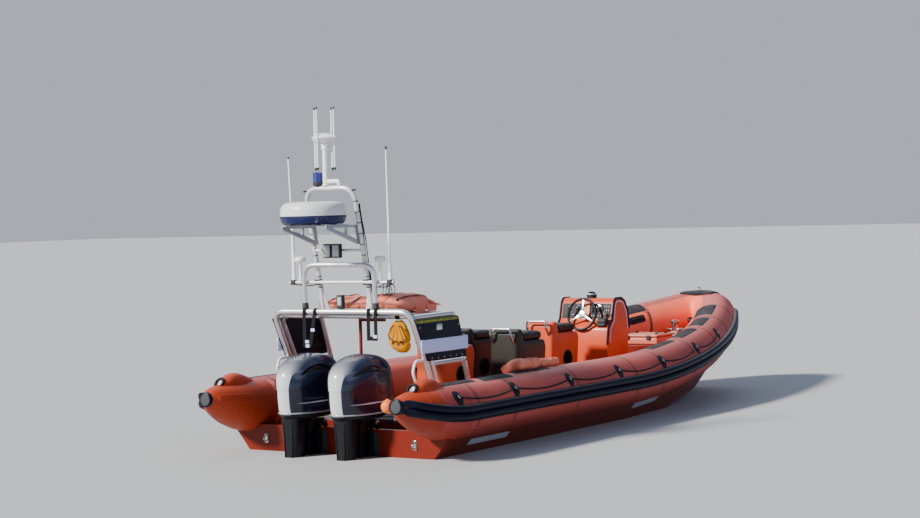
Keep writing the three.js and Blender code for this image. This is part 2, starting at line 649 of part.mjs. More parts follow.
function horizontalRing(x0, x1, halfWidth, z, power, count = 20) {
  return superellipse((x1 - x0) / 2, halfWidth, power, count).map(([x, y]) => vec((x0 + x1) / 2 + x, y, z));
}

// Cowl levels: z, aft x, fore x, half width
const COWL = [
  { z: 400 + FIT, aft: -4080, fore: -3480, half: 212 },
  { z: 520, aft: -4103, fore: -3420, half: 236 },
  { z: 640, aft: -4108, fore: -3402, half: 240 },
  { z: 745, aft: -4100, fore: -3408, half: 236 },
  { z: 820, aft: -4060, fore: -3432, half: 222 },
  { z: 878, aft: -3985, fore: -3470, half: 196 },
  { z: 918, aft: -3885, fore: -3530, half: 155 },
  { z: 938, aft: -3790, fore: -3600, half: 105 },
  { z: 946, aft: -3730, fore: -3650, half: 50 },
];

// An outline that tapers aft from its widest place and is squarer ahead of it
function cowlRing({ z, aft, fore, half }, grow = 0, count = 28) {
  const wide = aft + 0.68 * (fore - aft);
  return Array.from({ length: count }, (_, i) => {
    const t = (2 * Math.PI * (i + 0.5)) / count;
    const [power, reach] = Math.cos(t) > 0 ? [3.2, fore - wide] : [2, wide - aft];
    const shape = (v) => Math.sign(v) * Math.abs(v) ** (2 / power);
    return vec(wide + (reach + grow) * shape(Math.cos(t)), (half + grow) * shape(Math.sin(t)), z);
  });
}

function cowl() {
  const outer = loft(COWL.map((c) => cowlRing(c)));
  const inner = loft(COWL.slice(0, 7).map((c, i) => cowlRing({ ...c, z: c.z - (i === 0 ? 20 : 14) }, -18)));
  return cut(outer, inner);
}

function engineBlock() {
  return box(-3960, -3620, -110, 110, 400 + FIT, 780);
}

function leg() {
  const { steerX, propZ } = ENGINE;
  const pan = loft([
    cowlRing({ z: 355, aft: -4020, fore: -3560, half: 150 }),
    cowlRing({ z: 380, aft: -4066, fore: -3496, half: 196 }),
    cowlRing({ z: 400, aft: -4072, fore: -3488, half: 205 }),
  ]);
  const column = loft([
    horizontalRing(-4036, -3842, 104, 370, 3),
    horizontalRing(-4026, -3842, 86, 120, 3),
    horizontalRing(-4034, -3845, 58, -200, 3),
    horizontalRing(-4054, -3850, 46, -372, 3),
  ]);
  const yokes = [box(steerX - 130, steerX + 36, -45, 45, -165, -132 - FIT),
    rod(vec(steerX, 0, 332 + FIT), vec(steerX, 0, 370), 36, 18)];
  const plate = loft([-385, -370].map((z) => horizontalRing(-4205, -3855, 100, z, 2.4)));
  const strut = loft([
    horizontalRing(-4070, -3850, 36, -380, 2.4),
    horizontalRing(-4060, -3800, 30, propZ, 2.4),
  ]);
  const torpedo = [[0, 0], [46, 0], [54, 60], [54, 210], [42, 290], [22, 345], [0, 365]];
  const gearcase = turned(torpedo, 14).rotateY(Math.PI / 2).translate(PROP.frontX + FIT, 0, propZ);
  const [skegTop, skegTip] = [propZ - 40, propZ - 215];
  const skeg = sidePlate([[-4020, skegTop], [-3830, skegTop], [-3915, skegTip], [-4000, skegTip]], -7, 7);
  return join(pan, column, ...yokes, plate, strut, gearcase, skeg);
}

function propeller() {
  const outline = [[0, 0], [38, 0], [46, 10], [PROP.hubRadius, 45], [46, PROP.length], [0, PROP.length]];
  const hub = turned(outline, 14).rotateY(-Math.PI / 2);
  const blades = Array.from({ length: PROP.blades }, (_, i) => {
    const shape = new THREE.Shape().absellipse(0, 104, 62, PROP.radius - 104, 0, 2 * Math.PI, false, 0);
    const blade = new THREE.ExtrudeGeometry(shape, { depth: 7, bevelEnabled: false, curveSegments: 8 });
    blade.translate(0, 0, -3.5).rotateY(Math.PI / 2 - PROP.pitch).translate(-PROP.length / 2, 0, 0);
    return blade.rotateX((2 * Math.PI * i) / PROP.blades);
  });
  return join(hub, ...blades).translate(PROP.frontX, 0, ENGINE.propZ);
}

// The boat, one mesh to a piece
const boat = new THREE.Group();

function add(name, geometry, color, roughness = 0.5, metalness = 0, parent = boat) {
  const material = new THREE.MeshStandardMaterial({ color, roughness, metalness });
  const mesh = new THREE.Mesh(closed(geometry), material);
  mesh.name = name;
  parent.add(mesh);
  return mesh;
}

add("hull", hull(), 0xd9542b, 0.35);
add("deck", deckPlate(), 0x50555b, 0.85);
add("foredeck", foredeck(), 0xd9542b, 0.4);
add("sponson_port_aft", aftChamber(), 0xc95a42, 0.6);
add("sponson_port_fore", foreChamber(), 0xc95a42, 0.6);
add("sponson_starboard_aft", mirrored(aftChamber()), 0xc95a42, 0.6);
add("sponson_starboard_fore", mirrored(foreChamber()), 0xc95a42, 0.6);
add("tail_cone_port", tailCone(), 0xe26a2c, 0.45);
add("tail_cone_starboard", mirrored(tailCone()), 0xe26a2c, 0.45);
add("rubbing_strake", rubbingStrake(), 0x14161d, 0.6);
add("bow_cap", bowCap(), 0x14161d, 0.6);
add("console", consoleBody(), 0xe0702a, 0.4);
add("bow_box", bowBox(), 0xd9542b, 0.5);
add("bow_bollard", bollard(), 0xb9bdc2, 0.3, 0.9);

const wheel = add("helm_wheel", helmWheel(), 0x1b1c1e, 0.6);
wheel.rotation.set(0, rad(-WHEEL.lean), 0);
wheel.position.set(WHEEL.faceX, 0, WHEEL.faceZ);
add("compass", compass(), 0x15171a, 0.4);

for (const seat of SEATS) {
  add(`${seat.name}_pod`, seatPod(seat), seat.color, 0.5);
  add(`${seat.name}_cushion`, seatCushion(seat), 0x17181a, 0.8);
}

add("roll_bar", rollBar(), 0xc9ced4, 0.35, 0.6);
add("stern_frame", sternFrame(), 0xc9ced4, 0.35, 0.6);
add("mast_arch", mastArch(), 0xc9ced4, 0.35, 0.6);
add("radar_bracket", radarBracket(), 0xa9adb2, 0.4, 0.4);
add("radar_dome", radarDome(), 0xf1f3f5, 0.3);
add("floodlights", floodlights(), 0x202225, 0.5);
add("stern_light", sternLight(), 0x17181a, 0.5);
add("mast_pipe", mastPipe(), 0xf1f3f5, 0.4);
add("stay_post", stayPost(), 0xa8423c, 0.5);
add("fender_ball", fenderBall(), 0xe8964a, 0.5);
add("df_aerial", dfAerial(), 0xf1f3f5, 0.4);
add("blue_light", blueLight(), 0x10205c, 0.2);
add("port_whip_aerial", whip(1, 2790, 2120), 0xf1f3f5, 0.4);
add("starboard_whip_aerial", whip(-1, 2850, 1760), 0xf1f3f5, 0.4);
add("port_round_aerial", roundAerial(480), 0xf1f3f5, 0.4);
add("starboard_round_aerial", roundAerial(-450), 0xf1f3f5, 0.4);

for (const [side, s] of [["port", 1], ["starboard", -1]]) {
  const inner = FRAME.halfWidth + FRAME.tube + FIT;
  const across = (from, to) => (s > 0 ? [inner + from, inner + to] : [-inner - to, -inner - from]);
  const panel = [[-3500, 1256], [-2790, 1256], [-2660, 862], [-3310, 862]];
  add(`${side}_side_panel`, sidePlate(panel, ...across(0, 14)), 0x10131c, 0.5);
  add(`${side}_name_board`, box(-3420, -2650, ...across(14 + FIT, 24 + FIT), 938, 1062), 0xe8eaec, 0.5);
}

const bagBase = FORE_TOP.z + 28 + FIT;
add("righting_bag", pillow([690, 1000, 150], [-2915, 0, bagBase + 75]), 0xd0502c, 0.7);
const BAG = { size: [150, 240, 306], x: FRAME.topX + 100, y: -592 };
const bagTop = FRAME.topZ - 45 - 24 - 2.3;
add("yellow_bag", pillow(BAG.size, [BAG.x, BAG.y, bagTop - BAG.size[2] / 2]), 0xe8a020, 0.7);

for (const [side, s] of [["port", 1], ["starboard", -1]]) {
  const engine = new THREE.Group();
  engine.position.set(ENGINE.forward, s * ENGINE.halfSpacing, 0);
  boat.add(engine);
  add(`${side}_engine_bracket`, bracket(), 0x33383f, 0.4, 0.3, engine);
  add(`${side}_engine_swivel`, swivel(), 0x33383f, 0.4, 0.3, engine);
  add(`${side}_engine_cowl`, cowl(), 0x26303d, 0.25, 0.2, engine);
  add(`${side}_engine_block`, engineBlock(), 0x6a6e73, 0.6, 0.5, engine);
  add(`${side}_engine_leg`, leg(), 0x1c2026, 0.4, 0.2, engine);
  add(`${side}_propeller`, propeller(), 0x2a2c2f, 0.35, 0.5, engine);
}

export default boat;
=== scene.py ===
"""Looks of the inshore rescue boat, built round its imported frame.

Metres, +X to the bow, +Y to port, +Z up. The origin is amidships at the waterline.
"""

from __future__ import annotations

import json
import logging
import math
from collections.abc import Callable, Iterator, Sequence
from contextlib import contextmanager
from dataclasses import dataclass
from enum import Enum
from functools import cache

import bpy
from mathutils import Matrix, Vector

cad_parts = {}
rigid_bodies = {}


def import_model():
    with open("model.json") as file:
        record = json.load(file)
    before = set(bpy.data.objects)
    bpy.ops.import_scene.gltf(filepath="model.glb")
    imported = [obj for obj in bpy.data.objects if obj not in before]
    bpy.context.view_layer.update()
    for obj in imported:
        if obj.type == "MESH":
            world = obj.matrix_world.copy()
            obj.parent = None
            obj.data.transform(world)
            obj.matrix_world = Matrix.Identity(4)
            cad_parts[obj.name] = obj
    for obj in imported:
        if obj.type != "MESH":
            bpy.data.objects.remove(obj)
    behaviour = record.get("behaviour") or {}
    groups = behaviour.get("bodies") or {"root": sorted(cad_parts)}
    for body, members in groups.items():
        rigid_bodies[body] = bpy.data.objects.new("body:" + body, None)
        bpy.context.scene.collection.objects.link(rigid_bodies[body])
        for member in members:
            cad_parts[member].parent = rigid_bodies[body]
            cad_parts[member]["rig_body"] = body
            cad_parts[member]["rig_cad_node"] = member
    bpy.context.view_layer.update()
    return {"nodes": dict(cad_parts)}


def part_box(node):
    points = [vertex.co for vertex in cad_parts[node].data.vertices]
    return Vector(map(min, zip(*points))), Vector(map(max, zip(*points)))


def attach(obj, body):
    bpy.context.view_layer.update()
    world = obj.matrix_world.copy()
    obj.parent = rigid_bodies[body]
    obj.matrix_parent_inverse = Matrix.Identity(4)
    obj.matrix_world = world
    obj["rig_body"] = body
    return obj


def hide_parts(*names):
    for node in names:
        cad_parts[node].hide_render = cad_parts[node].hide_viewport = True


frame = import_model()
log = logging.getLogger("rescue_boat")

Object = bpy.types.Object
Node = bpy.types.Node
Socket = bpy.types.NodeSocket
Tree = bpy.types.NodeTree
Point = tuple[float, float, float]
Colour = tuple[float, float, float]
Outline = Sequence[tuple[float, float]]
Rows = tuple[tuple[float, ...], ...]
Place = Callable[[float, float], Vector]

MERGE = 2e-5
FRAME_MERGE = 1e-4
FLAT_ANGLE = 0.4
CLEARANCE = 0.0003
TRANSOM_X = -3.6
ENGINE_Y = 0.3
FLOOR_Z = 0.2806


class Side(Enum):
    """One side of the boat, as the sign of its Y."""

    PORT = 1
    STARBOARD = -1

    @property
    def word(self) -> str:
        """The side's name in piece and node names."""
        return self.name.lower()

    def at(self, x: float, y: float, z: float) -> Vector:
        """The port point mirrored to this side."""
        return Vector((x, y * self.value, z))


# Modelling by hand


def choose(*objects: Object) -> None:
    """Selects only these objects and makes the first one active."""
    bpy.ops.object.select_all(action="DESELECT")
    for obj in objects:
        obj.select_set(True)
    bpy.context.view_layer.objects.active = objects[0]


@contextmanager
def editing(obj: Object) -> Iterator[None]:
    """Opens a mesh in edit mode with all of its faces selected."""
    choose(obj)
    bpy.ops.object.mode_set(mode="EDIT")
    bpy.ops.mesh.select_mode(type="FACE")
    bpy.ops.mesh.select_all(action="SELECT")
    yield
    bpy.ops.object.mode_set(mode="OBJECT")


def modify(obj: Object, kind: str, **settings: object) -> Object:
    """Adds a modifier, sets it and applies it.

    Args:
        obj: The piece that gets the modifier.
        kind: Blender's name of the modifier.
        **settings: The modifier's own settings.

    Returns:
        The same piece.
    """
    choose(obj)
    modifier = obj.modifiers.new(kind.title(), kind)
    for key, value in settings.items():
        setattr(modifier, key, value)
    bpy.ops.object.modifier_apply(modifier=modifier.name)
    return obj


def bevelled(obj: Object, width: float, segments: int = 3, angle: float = 35.0) -> Object:
    """Rounds a piece's edges that are sharper than an angle in degrees."""
    return modify(obj, "BEVEL", width=width, segments=segments, limit_method="ANGLE",
                  angle_limit=math.radians(angle), use_clamp_overlap=True)


def closed(obj: Object, caps: bool = True) -> Object:
    """Merges a mesh's doubles, fills its open ends and turns its faces outwards.

    Args:
        obj: The mesh to close.
        caps: Whether open ends are filled.

    Returns:
        The same piece.
    """
    with editing(obj):
        bpy.ops.mesh.remove_doubles(threshold=MERGE)
        if caps:
            bpy.ops.mesh.fill_holes(sides=0)
        bpy.ops.mesh.normals_make_consistent(inside=False)
    return obj


def wrapped(name: str, columns: int, rows: int, place: Place, caps: bool = True,
            marks: dict[str, Callable[[float, float], float]] | None = None) -> Object:
    """Shapes a flat grid into a skin.

    Args:
        name: The piece's name.
        columns: How many faces the grid has along u.
        rows: How many faces it has along v.
        place: Gives the point of each (u, v), both from 0 to 1.
        caps: Whether open ends are filled.
        marks: Named values kept at each point, from its (u, v).

    Returns:
        The closed piece.
    """
    bpy.ops.object.select_all(action="DESELECT")
    bpy.ops.mesh.primitive_grid_add(x_subdivisions=columns, y_subdivisions=rows, size=1)
    obj = bpy.context.object
    obj.name = name
    flat = [(v.co.x + 0.5, v.co.y + 0.5) for v in obj.data.vertices]
    for mark, value in (marks or {}).items():
        layer = obj.data.attributes.new(mark, "FLOAT", "POINT")
        layer.data.foreach_set("value", [value(u, v) for u, v in flat])
    for vertex, (u, v) in zip(obj.data.vertices, flat):
        vertex.co = place(u, v)
    return closed(obj, caps)


def turned(name: str, profile: Outline, at: Sequence[float], axis: Sequence[float] = (0, 0, 1),
           sides: int = 40) -> Object:
    """Spins a profile about an axis.

    Args:
        name: The piece's name.
        profile: Points of (radius, height), from one end of the axis to the other.
        at: Where height 0 lies.
        axis: The direction of the height.
        sides: How many faces go round.

    Returns:
        The turned piece.
    """
    turn = Vector((0, 0, 1)).rotation_difference(Vector(axis))

    def place(u: float, v: float) -> Vector:
        radius, height = profile[round(v * (len(profile) - 1))]
        angle = 2 * math.pi * u
        return Vector(at) + turn @ Vector((radius * math.cos(angle), radius * math.sin(angle), height))

    return wrapped(name, sides, len(profile) - 1, place)


def block(name: str, low: Sequence[float], high: Sequence[float], edge: float = 0.0) -> Object:
    """A box between two corners, its edges rounded by the given width."""
    centre = [(a + b) / 2 for a, b in zip(low, high)]
    size = [abs(b - a) for a, b in zip(low, high)]
    bpy.ops.object.select_all(action="DESELECT")
    bpy.ops.mesh.primitive_cube_add(size=1, location=centre, scale=size)
    obj = bpy.context.object
    obj.name = name
    bpy.ops.object.transform_apply(location=True, rotation=True, scale=True)
    return bevelled(obj, edge) if edge else obj


def bent_path(corners: Sequence[Sequence[float]], bend: float, steps: int = 8) -> list[Vector]:
    """Rounds the inner corners of a path.

    Args:
        corners: The path's corner points.
        bend: The radius of each rounded corner.
        steps: How many points each corner gets.

    Returns:
        The points of the rounded path.
    """
    points = [Vector(corners[0])]
    for before, corner, after in zip(corners, corners[1:], corners[2:]):
        corner = Vector(corner)
        back, on = (Vector(before) - corner).normalized(), (Vector(after) - corner).normalized()
        reach = bend / math.tan(back.angle(on) / 2)
        first, last = corner + back * reach, corner + on * reach
        for i in range(steps + 1):
            t = i / steps
            points.append(first.lerp(corner, t).lerp(corner.lerp(last, t), t))
    return [*points, Vector(corners[-1])]


def pipe(name: str, points: Sequence[Sequence[float]], radius: float, bend: float = 0.0,
         ring: int = 5, taper: Sequence[float] | None = None) -> Object:
    """A round tube along a path.

    Args:
        name: The piece's name.
        points: The path, as corners if bend is given.
        radius: The tube's radius.
        bend: The radius of its bends.
        ring: Blender's bevel resolution, from which the ring's sides follow.
        taper: The share of the radius at each point.

    Returns:
        The tube as a mesh with closed ends.
    """
    path = bent_path(points, bend) if bend and len(points) > 2 else [Vector(p) for p in points]
    bpy.ops.object.select_all(action="DESELECT")
    bpy.ops.curve.primitive_nurbs_path_add(location=(0, 0, 0))
    obj = bpy.context.object
    obj.name = name
    curve = obj.data
    curve.splines.clear()
    spline = curve.splines.new("POLY")
    spline.points.add(len(path) - 1)
    for i, (target, co) in enumerate(zip(spline.points, path)):
        target.co = (*co, 1)
        target.radius = taper[i] if taper else 1.0
    curve.bevel_depth, curve.bevel_resolution, curve.use_fill_caps = radius, ring, True
    bpy.ops.object.convert(target="MESH")
    return closed(bpy.context.object)


def joined(name: str, *objects: Object) -> Object:
    """Joins pieces into one mesh with a new name."""
    choose(*objects)
    if len(objects) > 1:
        bpy.ops.object.join()
    obj = bpy.context.object
    obj.name = name
    return obj


def moved(obj: Object, offset: Sequence[float]) -> Object:
    """Moves the points of a mesh and leaves its object at the origin."""
    obj.data.transform(Matrix.Translation(Vector(offset)))
    return obj


def copied(obj: Object, name: str, offset: Sequence[float] = (0, 0, 0)) -> Object:
    """A copy with its own mesh, moved by an offset."""
    twin = obj.copy()
    twin.data = obj.data.copy()
    twin.name = name
    bpy.context.collection.objects.link(twin)
    return moved(twin, offset)


def from_frame(name: str, node: str, width: float = 0.0) -> Object:
    """A copy of a frame node with its doubles merged, flat faces joined and edges rounded.

    Args:
        name: The new piece's name.
        node: The frame node that is copied.
        width: How wide the rounded edges are, or 0 for none.

    Returns:
        The copy, free of its body.
    """
    twin = copied(frame["nodes"][node], name)
    twin.parent = None
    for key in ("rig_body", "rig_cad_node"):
        del twin[key]
    with editing(twin):
        bpy.ops.mesh.remove_doubles(threshold=FRAME_MERGE)
        bpy.ops.mesh.dissolve_limited(angle_limit=math.radians(FLAT_ANGLE))
        bpy.ops.mesh.normals_make_consistent(inside=False)
    return bevelled(twin, width, 2) if width else twin


def bolts(name: str, places: Sequence[Sequence[float]], axis: Sequence[float],
          radius: float = 0.008) -> Object:
    """Hexagon bolt heads with washers at the given places, pointing along an axis."""
    profile = [(0, 0), (radius * 1.6, 0), (radius * 1.6, 0.002), (radius, 0.0025), (radius, 0.007),
               (0, 0.0085)]
    return joined(name, *(turned(name, profile, at, axis, 6) for at in places))


# Finishes


class Grain(Enum):
    """What a finish's fine relief looks like."""

    CAST = "cast"
    WEAVE = "weave"
    PEBBLE = "pebble"
    BRUSHED = "brushed"


class Graph:
    """Adds and wires the nodes of one material or group."""

    def __init__(self, tree: Tree) -> None:
        """Starts with an empty tree."""
        self.tree = tree
        tree.nodes.clear()

    def add(self, kind: str, inputs: dict[str | int, object] | None = None, **settings: object) -> Node:
        """Adds a node.

        Args:
            kind: The node's type, without the word ShaderNode.
            inputs: A value or another node's socket for each input.
            **settings: The node's own settings.

        Returns:
            The new node.
        """
        node = self.tree.nodes.new(kind if kind.startswith("Node") else f"ShaderNode{kind}")
        for key, value in settings.items():
            setattr(node, key, value)
        for key, value in (inputs or {}).items():
            if isinstance(value, Socket):
                self.tree.links.new(value, node.inputs[key])
            else:
                node.inputs[key].default_value = value
        return node

    def maths(self, operation: str, a: object, b: object = 0.0) -> Socket:
        """One sum of two values, kept from 0 to 1."""
        return self.add("Math", {0: a, 1: b}, operation=operation, use_clamp=True).outputs[0]

    def blend(self, factor: object, a: object, b: object) -> Socket:
        """Mixes two colours."""
        fixed = {6: a, 7: b}
        for key, value in fixed.items():
            if isinstance(value, tuple):
                fixed[key] = (*value, 1)
        return self.add("Mix", {0: factor, **fixed}, data_type="RGBA").outputs[2]

    def between(self, value: object, low: float, high: float, to: tuple[float, float] = (0.0, 1.0)) -> Socket:
        """Stretches a range of values to another one, and holds it there."""
        return self.add("MapRange", {0: value, 1: low, 2: high, 3: to[0], 4: to[1]}).outputs[0]

    def mark(self, name: str) -> Socket:
        """A value kept at the mesh's points."""
        return self.add("Attribute", attribute_name=name).outputs["Fac"]


def new_group(name: str, inputs: Sequence[str], outputs: Sequence[str]) -> tuple[Graph, dict, Node]:
    """Starts a shader node group whose Vector input takes a point and whose other sockets are values.

    Args:
        name: The group's name.
        inputs: The names of its inputs.
        outputs: The names of its outputs.

    Returns:
        Its graph, its inputs by name and its output node.
    """
    tree = bpy.data.node_groups.new(name, "ShaderNodeTree")
    for way, names in (("INPUT", inputs), ("OUTPUT", outputs)):
        for word in names:
            kind = "NodeSocketVector" if word == "Vector" else "NodeSocketFloat"
            tree.interface.new_socket(word, in_out=way, socket_type=kind)
    graph = Graph(tree)
    source = graph.add("NodeGroupInput")
    return graph, {word: source.outputs[word] for word in inputs}, graph.add("NodeGroupOutput")


@cache
def blotches() -> Tree:
    """Broad and fine soft patches, for colour and gloss that vary."""
    graph, given, out = new_group("blotches", ("Vector", "Scale"), ("Broad", "Fine"))
    fine_scale = graph.add("Math", {0: given["Scale"], 1: 17.0}, operation="MULTIPLY").outputs[0]
    for word, scale, detail in (("Broad", given["Scale"], 3.0), ("Fine", fine_scale, 5.0)):
        noise = graph.add("TexNoise", {"Vector": given["Vector"], "Scale": scale, "Detail": detail})
        graph.tree.links.new(graph.between(noise.outputs[0], 0.32, 0.68), out.inputs[word])
    return graph.tree


@cache
def settled_dust() -> Tree:
    """Dust and salt on what faces up."""
    graph, given, out = new_group("settled_dust", ("Vector",), ("Mask",))
    normal = graph.add("SeparateXYZ", {0: graph.add("TexCoord").outputs["Normal"]})
    noise = graph.add("TexNoise", {"Vector": given["Vector"], "Scale": 9.0, "Detail": 8.0, "Roughness": 0.7})
    up = graph.between(normal.outputs[2], 0.2, 1.0)
    patchy = graph.between(noise.outputs[0], 0.4, 0.7)
    graph.tree.links.new(graph.maths("MULTIPLY", up, patchy), out.inputs["Mask"])
    return graph.tree


@cache
def scuffs() -> Tree:
    """Thin long scratches in a few directions."""
    graph, given, out = new_group("scuffs", ("Vector", "Scale"), ("Mask",))
    lines = []
    for stretch in ((1.0, 14.0, 9.0), (11.0, 1.0, 6.0)):
        point = graph.add("Mapping", {"Vector": given["Vector"], "Scale": stretch}).outputs[0]
        noise = graph.add("TexNoise", {"Vector": point, "Scale": given["Scale"], "Detail": 3.0,
                                       "Distortion": 0.6})
        lines.append(graph.between(noise.outputs[0], 0.66, 0.72))
    graph.tree.links.new(graph.maths("MAXIMUM", *lines), out.inputs["Mask"])
    return graph.tree


@cache
def relief(grain: Grain) -> Tree:
    """The fine height of a surface: cast, woven, pebbled or brushed."""
    graph, given, out = new_group(f"relief_{grain.value}", ("Vector", "Scale"), ("Height",))
    point, scale = given["Vector"], given["Scale"]
    if grain is Grain.WEAVE:
        waves = [graph.add("TexWave", {"Vector": point, "Scale": scale}, bands_direction=way).outputs[1]
                 for way in ("X", "Y", "Z")]
        height = graph.maths("MULTIPLY", graph.maths("MAXIMUM", waves[0], waves[1]),
                             graph.maths("MAXIMUM", waves[1], waves[2]))
    elif grain is Grain.PEBBLE:
        height = graph.add("TexVoronoi", {"Vector": point, "Scale": scale}, feature="SMOOTH_F1").outputs[0]
    else:
        stretch = (1.0, 1.0, 0.04) if grain is Grain.BRUSHED else (1.0, 1.0, 1.0)
        point = graph.add("Mapping", {"Vector": point, "Scale": stretch}).outputs[0]
        height = graph.add("TexNoise", {"Vector": point, "Scale": scale, "Detail": 4.0}).outputs[0]
    graph.tree.links.new(height, out.inputs["Height"])
    return graph.tree


@dataclass(frozen=True)
class Finish:
    """One finish of the boat, from colour and gloss to grain, blotches, dust and scuffs."""

    name: str
    slot: str
    colour: Colour
    roughness: float = 0.45
    metallic: float = 0.0
    coat: float = 0.0
    specular: float = 0.4
    other: Colour | None = None
    mottle: float = 0.35
    patch: float = 1.6
    grain: Grain = Grain.CAST
    grain_scale: float = 420.0
    depth: float = 0.0006
    dust: float = 0.25
    dust_colour: Colour = (0.55, 0.52, 0.48)
    scuffed: float = 0.15

    def ground(self, graph: Graph, where: Socket, broad: Socket) -> Socket:
        """The colour under dust and scuffs.

        Args:
            graph: The material's graph.
            where: The object's own coordinates.
            broad: The broad blotches, from 0 to 1.

        Returns:
            The colour's socket.
        """
        other = self.other or tuple(c * 0.72 for c in self.colour)
        return graph.blend(graph.maths("MULTIPLY", broad, self.mottle), self.colour, other)

    def material(self) -> bpy.types.Material:
        """The finish's material, made once."""
        made = bpy.data.materials.get(self.name)
        if made:
            return made
        made = bpy.data.materials.new(self.name)
        made.use_nodes = True
        graph = Graph(made.node_tree)
        where = graph.add("TexCoord").outputs["Object"]

        def group(tree: Tree, **inputs: object) -> Node:
            return graph.add("Group", {"Vector": where, **inputs}, node_tree=tree)

        patches = group(blotches(), Scale=self.patch)
        colour = self.ground(graph, where, patches.outputs["Broad"])
        marks = group(scuffs(), Scale=3.0).outputs["Mask"]
        pale = tuple(min(1.0, c * 1.25 + 0.08) for c in self.colour)
        colour = graph.blend(graph.maths("MULTIPLY", marks, self.scuffed), colour, pale)
        dust = graph.maths("MULTIPLY", group(settled_dust()).outputs["Mask"], self.dust)
        colour = graph.blend(dust, colour, self.dust_colour)
        low, high = max(0.02, self.roughness - 0.02), min(1.0, self.roughness + 0.03)
        gloss = graph.between(patches.outputs["Fine"], 0.0, 1.0, (low, high))
        rough = graph.maths("ADD", gloss, graph.maths("MULTIPLY", dust, 0.4))
        height = group(relief(self.grain), Scale=self.grain_scale).outputs["Height"]
        bump = graph.add("Bump", {"Height": height, "Distance": self.depth, "Strength": 0.6})
        shader = graph.add("BsdfPrincipled", {
            "Base Color": colour, "Roughness": rough, "Metallic": self.metallic, "Coat Weight": self.coat,
            "Coat Roughness": 0.08, "Specular IOR Level": self.specular, "Normal": bump.outputs[0]})
        graph.add("OutputMaterial", {0: shader.outputs[0]})
        return made


@dataclass(frozen=True)
class FadedFabric(Finish):
    """Coated tube fabric, faded where the mark "sun" is 1, and darkened on its underside below the rail by
    painted shade where the underside mark is 1.
    """

    faded: Colour = (0.6, 0.2, 0.13)
    # The colour of the painted shade on the underside below the rail.
    wet: Colour = (0.3, 0.032, 0.014)

    def ground(self, graph: Graph, where: Socket, broad: Socket) -> Socket:
        """Bright fabric that turns to faded fabric in the sun, and to painted shade on the underside below
        the rail.
        """
        fresh = graph.blend(graph.mark("wet"), super().ground(graph, where, broad), self.wet)
        uneven = graph.between(broad, 0.0, 1.0, (0.72, 1.0))
        return graph.blend(graph.maths("MULTIPLY", graph.mark("sun"), uneven), fresh, self.faded)


@dataclass(frozen=True)
class TwoTone(Finish):
    """A finish with a second colour below a height."""

    below: Colour = (0.02, 0.06, 0.35)
    height: float = 0.0

    def ground(self, graph: Graph, where: Socket, broad: Socket) -> Socket:
        """The second colour below the height, with a crisp edge."""
        top = super().ground(graph, where, broad)
        rise = graph.add("SeparateXYZ", {0: where}).outputs[2]
        return graph.blend(graph.between(rise, self.height - 0.001, self.height + 0.001), self.below, top)


@dataclass(frozen=True)
class CowlPaint(Finish):
    """Cowl paint: a dark body and paler hood, a silver spine and stripe, and painted shade in the intake
    mouths, by its marks.
    """

    hood: Colour = (0.012, 0.019, 0.048)
    silver: Colour = (0.55, 0.57, 0.62)
    # The colour of the painted shade inside the intake mouths.
    mouth: Colour = (0.004, 0.004, 0.005)

    def ground(self, graph: Graph, where: Socket, broad: Socket) -> Socket:
        """Lays hood, spine, stripe and the intake mouths' painted shade over the body's paint."""
        paint = super().ground(graph, where, broad)
        paint = graph.blend(graph.between(graph.mark("hood"), -0.001, 0.001), paint, self.hood)
        spine = graph.maths("MULTIPLY", graph.between(graph.mark("spine"), -0.0015, 0.0015),
                            graph.mark("fade"))
        stripe = graph.between(graph.mark("stripe"), -0.0008, 0.0008)
        paint = graph.blend(graph.maths("MAXIMUM", spine, stripe), paint, self.silver)
        return graph.blend(graph.between(graph.mark("mouth"), 0.02, 0.12), paint, self.mouth)


WEAVE, PEBBLE, BRUSHED = Grain.WEAVE, Grain.PEBBLE, Grain.BRUSHED

TUBE = FadedFabric("tube_coral_fabric", "tube_fabric", (0.94, 0.17, 0.1), 0.46, specular=0.3, grain=WEAVE,
                   grain_scale=260.0, depth=0.0003, faded=(0.36, 0.062, 0.056), dust=0.07, scuffed=0.18,
                   patch=1.1, dust_colour=(0.5, 0.26, 0.24))
CONE = FadedFabric("cone_orange_fabric", "cone_fabric", (0.42, 0.045, 0.011), 0.46, specular=0.2, grain=WEAVE,
                   grain_scale=260.0, depth=0.0003, faded=TUBE.faded, other=(0.34, 0.034, 0.01), mottle=0.3,
                   patch=1.1, dust=0.06, dust_colour=(0.6, 0.3, 0.2))
SEAM = Finish("seam_tape", "tube_fabric", (0.23, 0.045, 0.038), 0.5, specular=0.3, grain=WEAVE,
              grain_scale=300.0, dust=0.05)
BORDER = Finish("pad_border", "tube_fabric", (0.45, 0.13, 0.11), 0.5, specular=0.3, grain=WEAVE,
                grain_scale=300.0, dust=0.05)
RUBBER = Finish("rail_rubber", "strake_rubber", (0.003, 0.0045, 0.016), 0.38, specular=0.16, dust=0.01,
                scuffed=0.06)
PAD = Finish("anti_slip_pad", "deck_nonslip", (0.02, 0.021, 0.027), 0.8, specular=0.2, grain=PEBBLE,
             grain_scale=160.0, depth=0.0015, dust=0.08)
PATCH = Finish("black_patch", "strake_rubber", (0.008, 0.008, 0.013), 0.55, specular=0.2, grain=WEAVE,
               grain_scale=300.0, dust=0.03)
ROPE = Finish("grab_rope", "strake_rubber", (0.01, 0.01, 0.015), 0.8, specular=0.2, grain=BRUSHED,
              grain_scale=300.0, depth=0.001, dust=0.04)
ROPE_PALE = Finish("pale_rope", "board_white", (0.5, 0.46, 0.38), 0.8, grain=BRUSHED, grain_scale=300.0,
                   depth=0.001)
GELCOAT = Finish("hull_orange_gelcoat", "hull_gelcoat", (0.16, 0.014, 0.006), 0.34, specular=0.2, coat=0.02,
                 other=(0.13, 0.012, 0.005), mottle=0.3, scuffed=0.02, dust=0.0, patch=0.9, depth=0.0001)
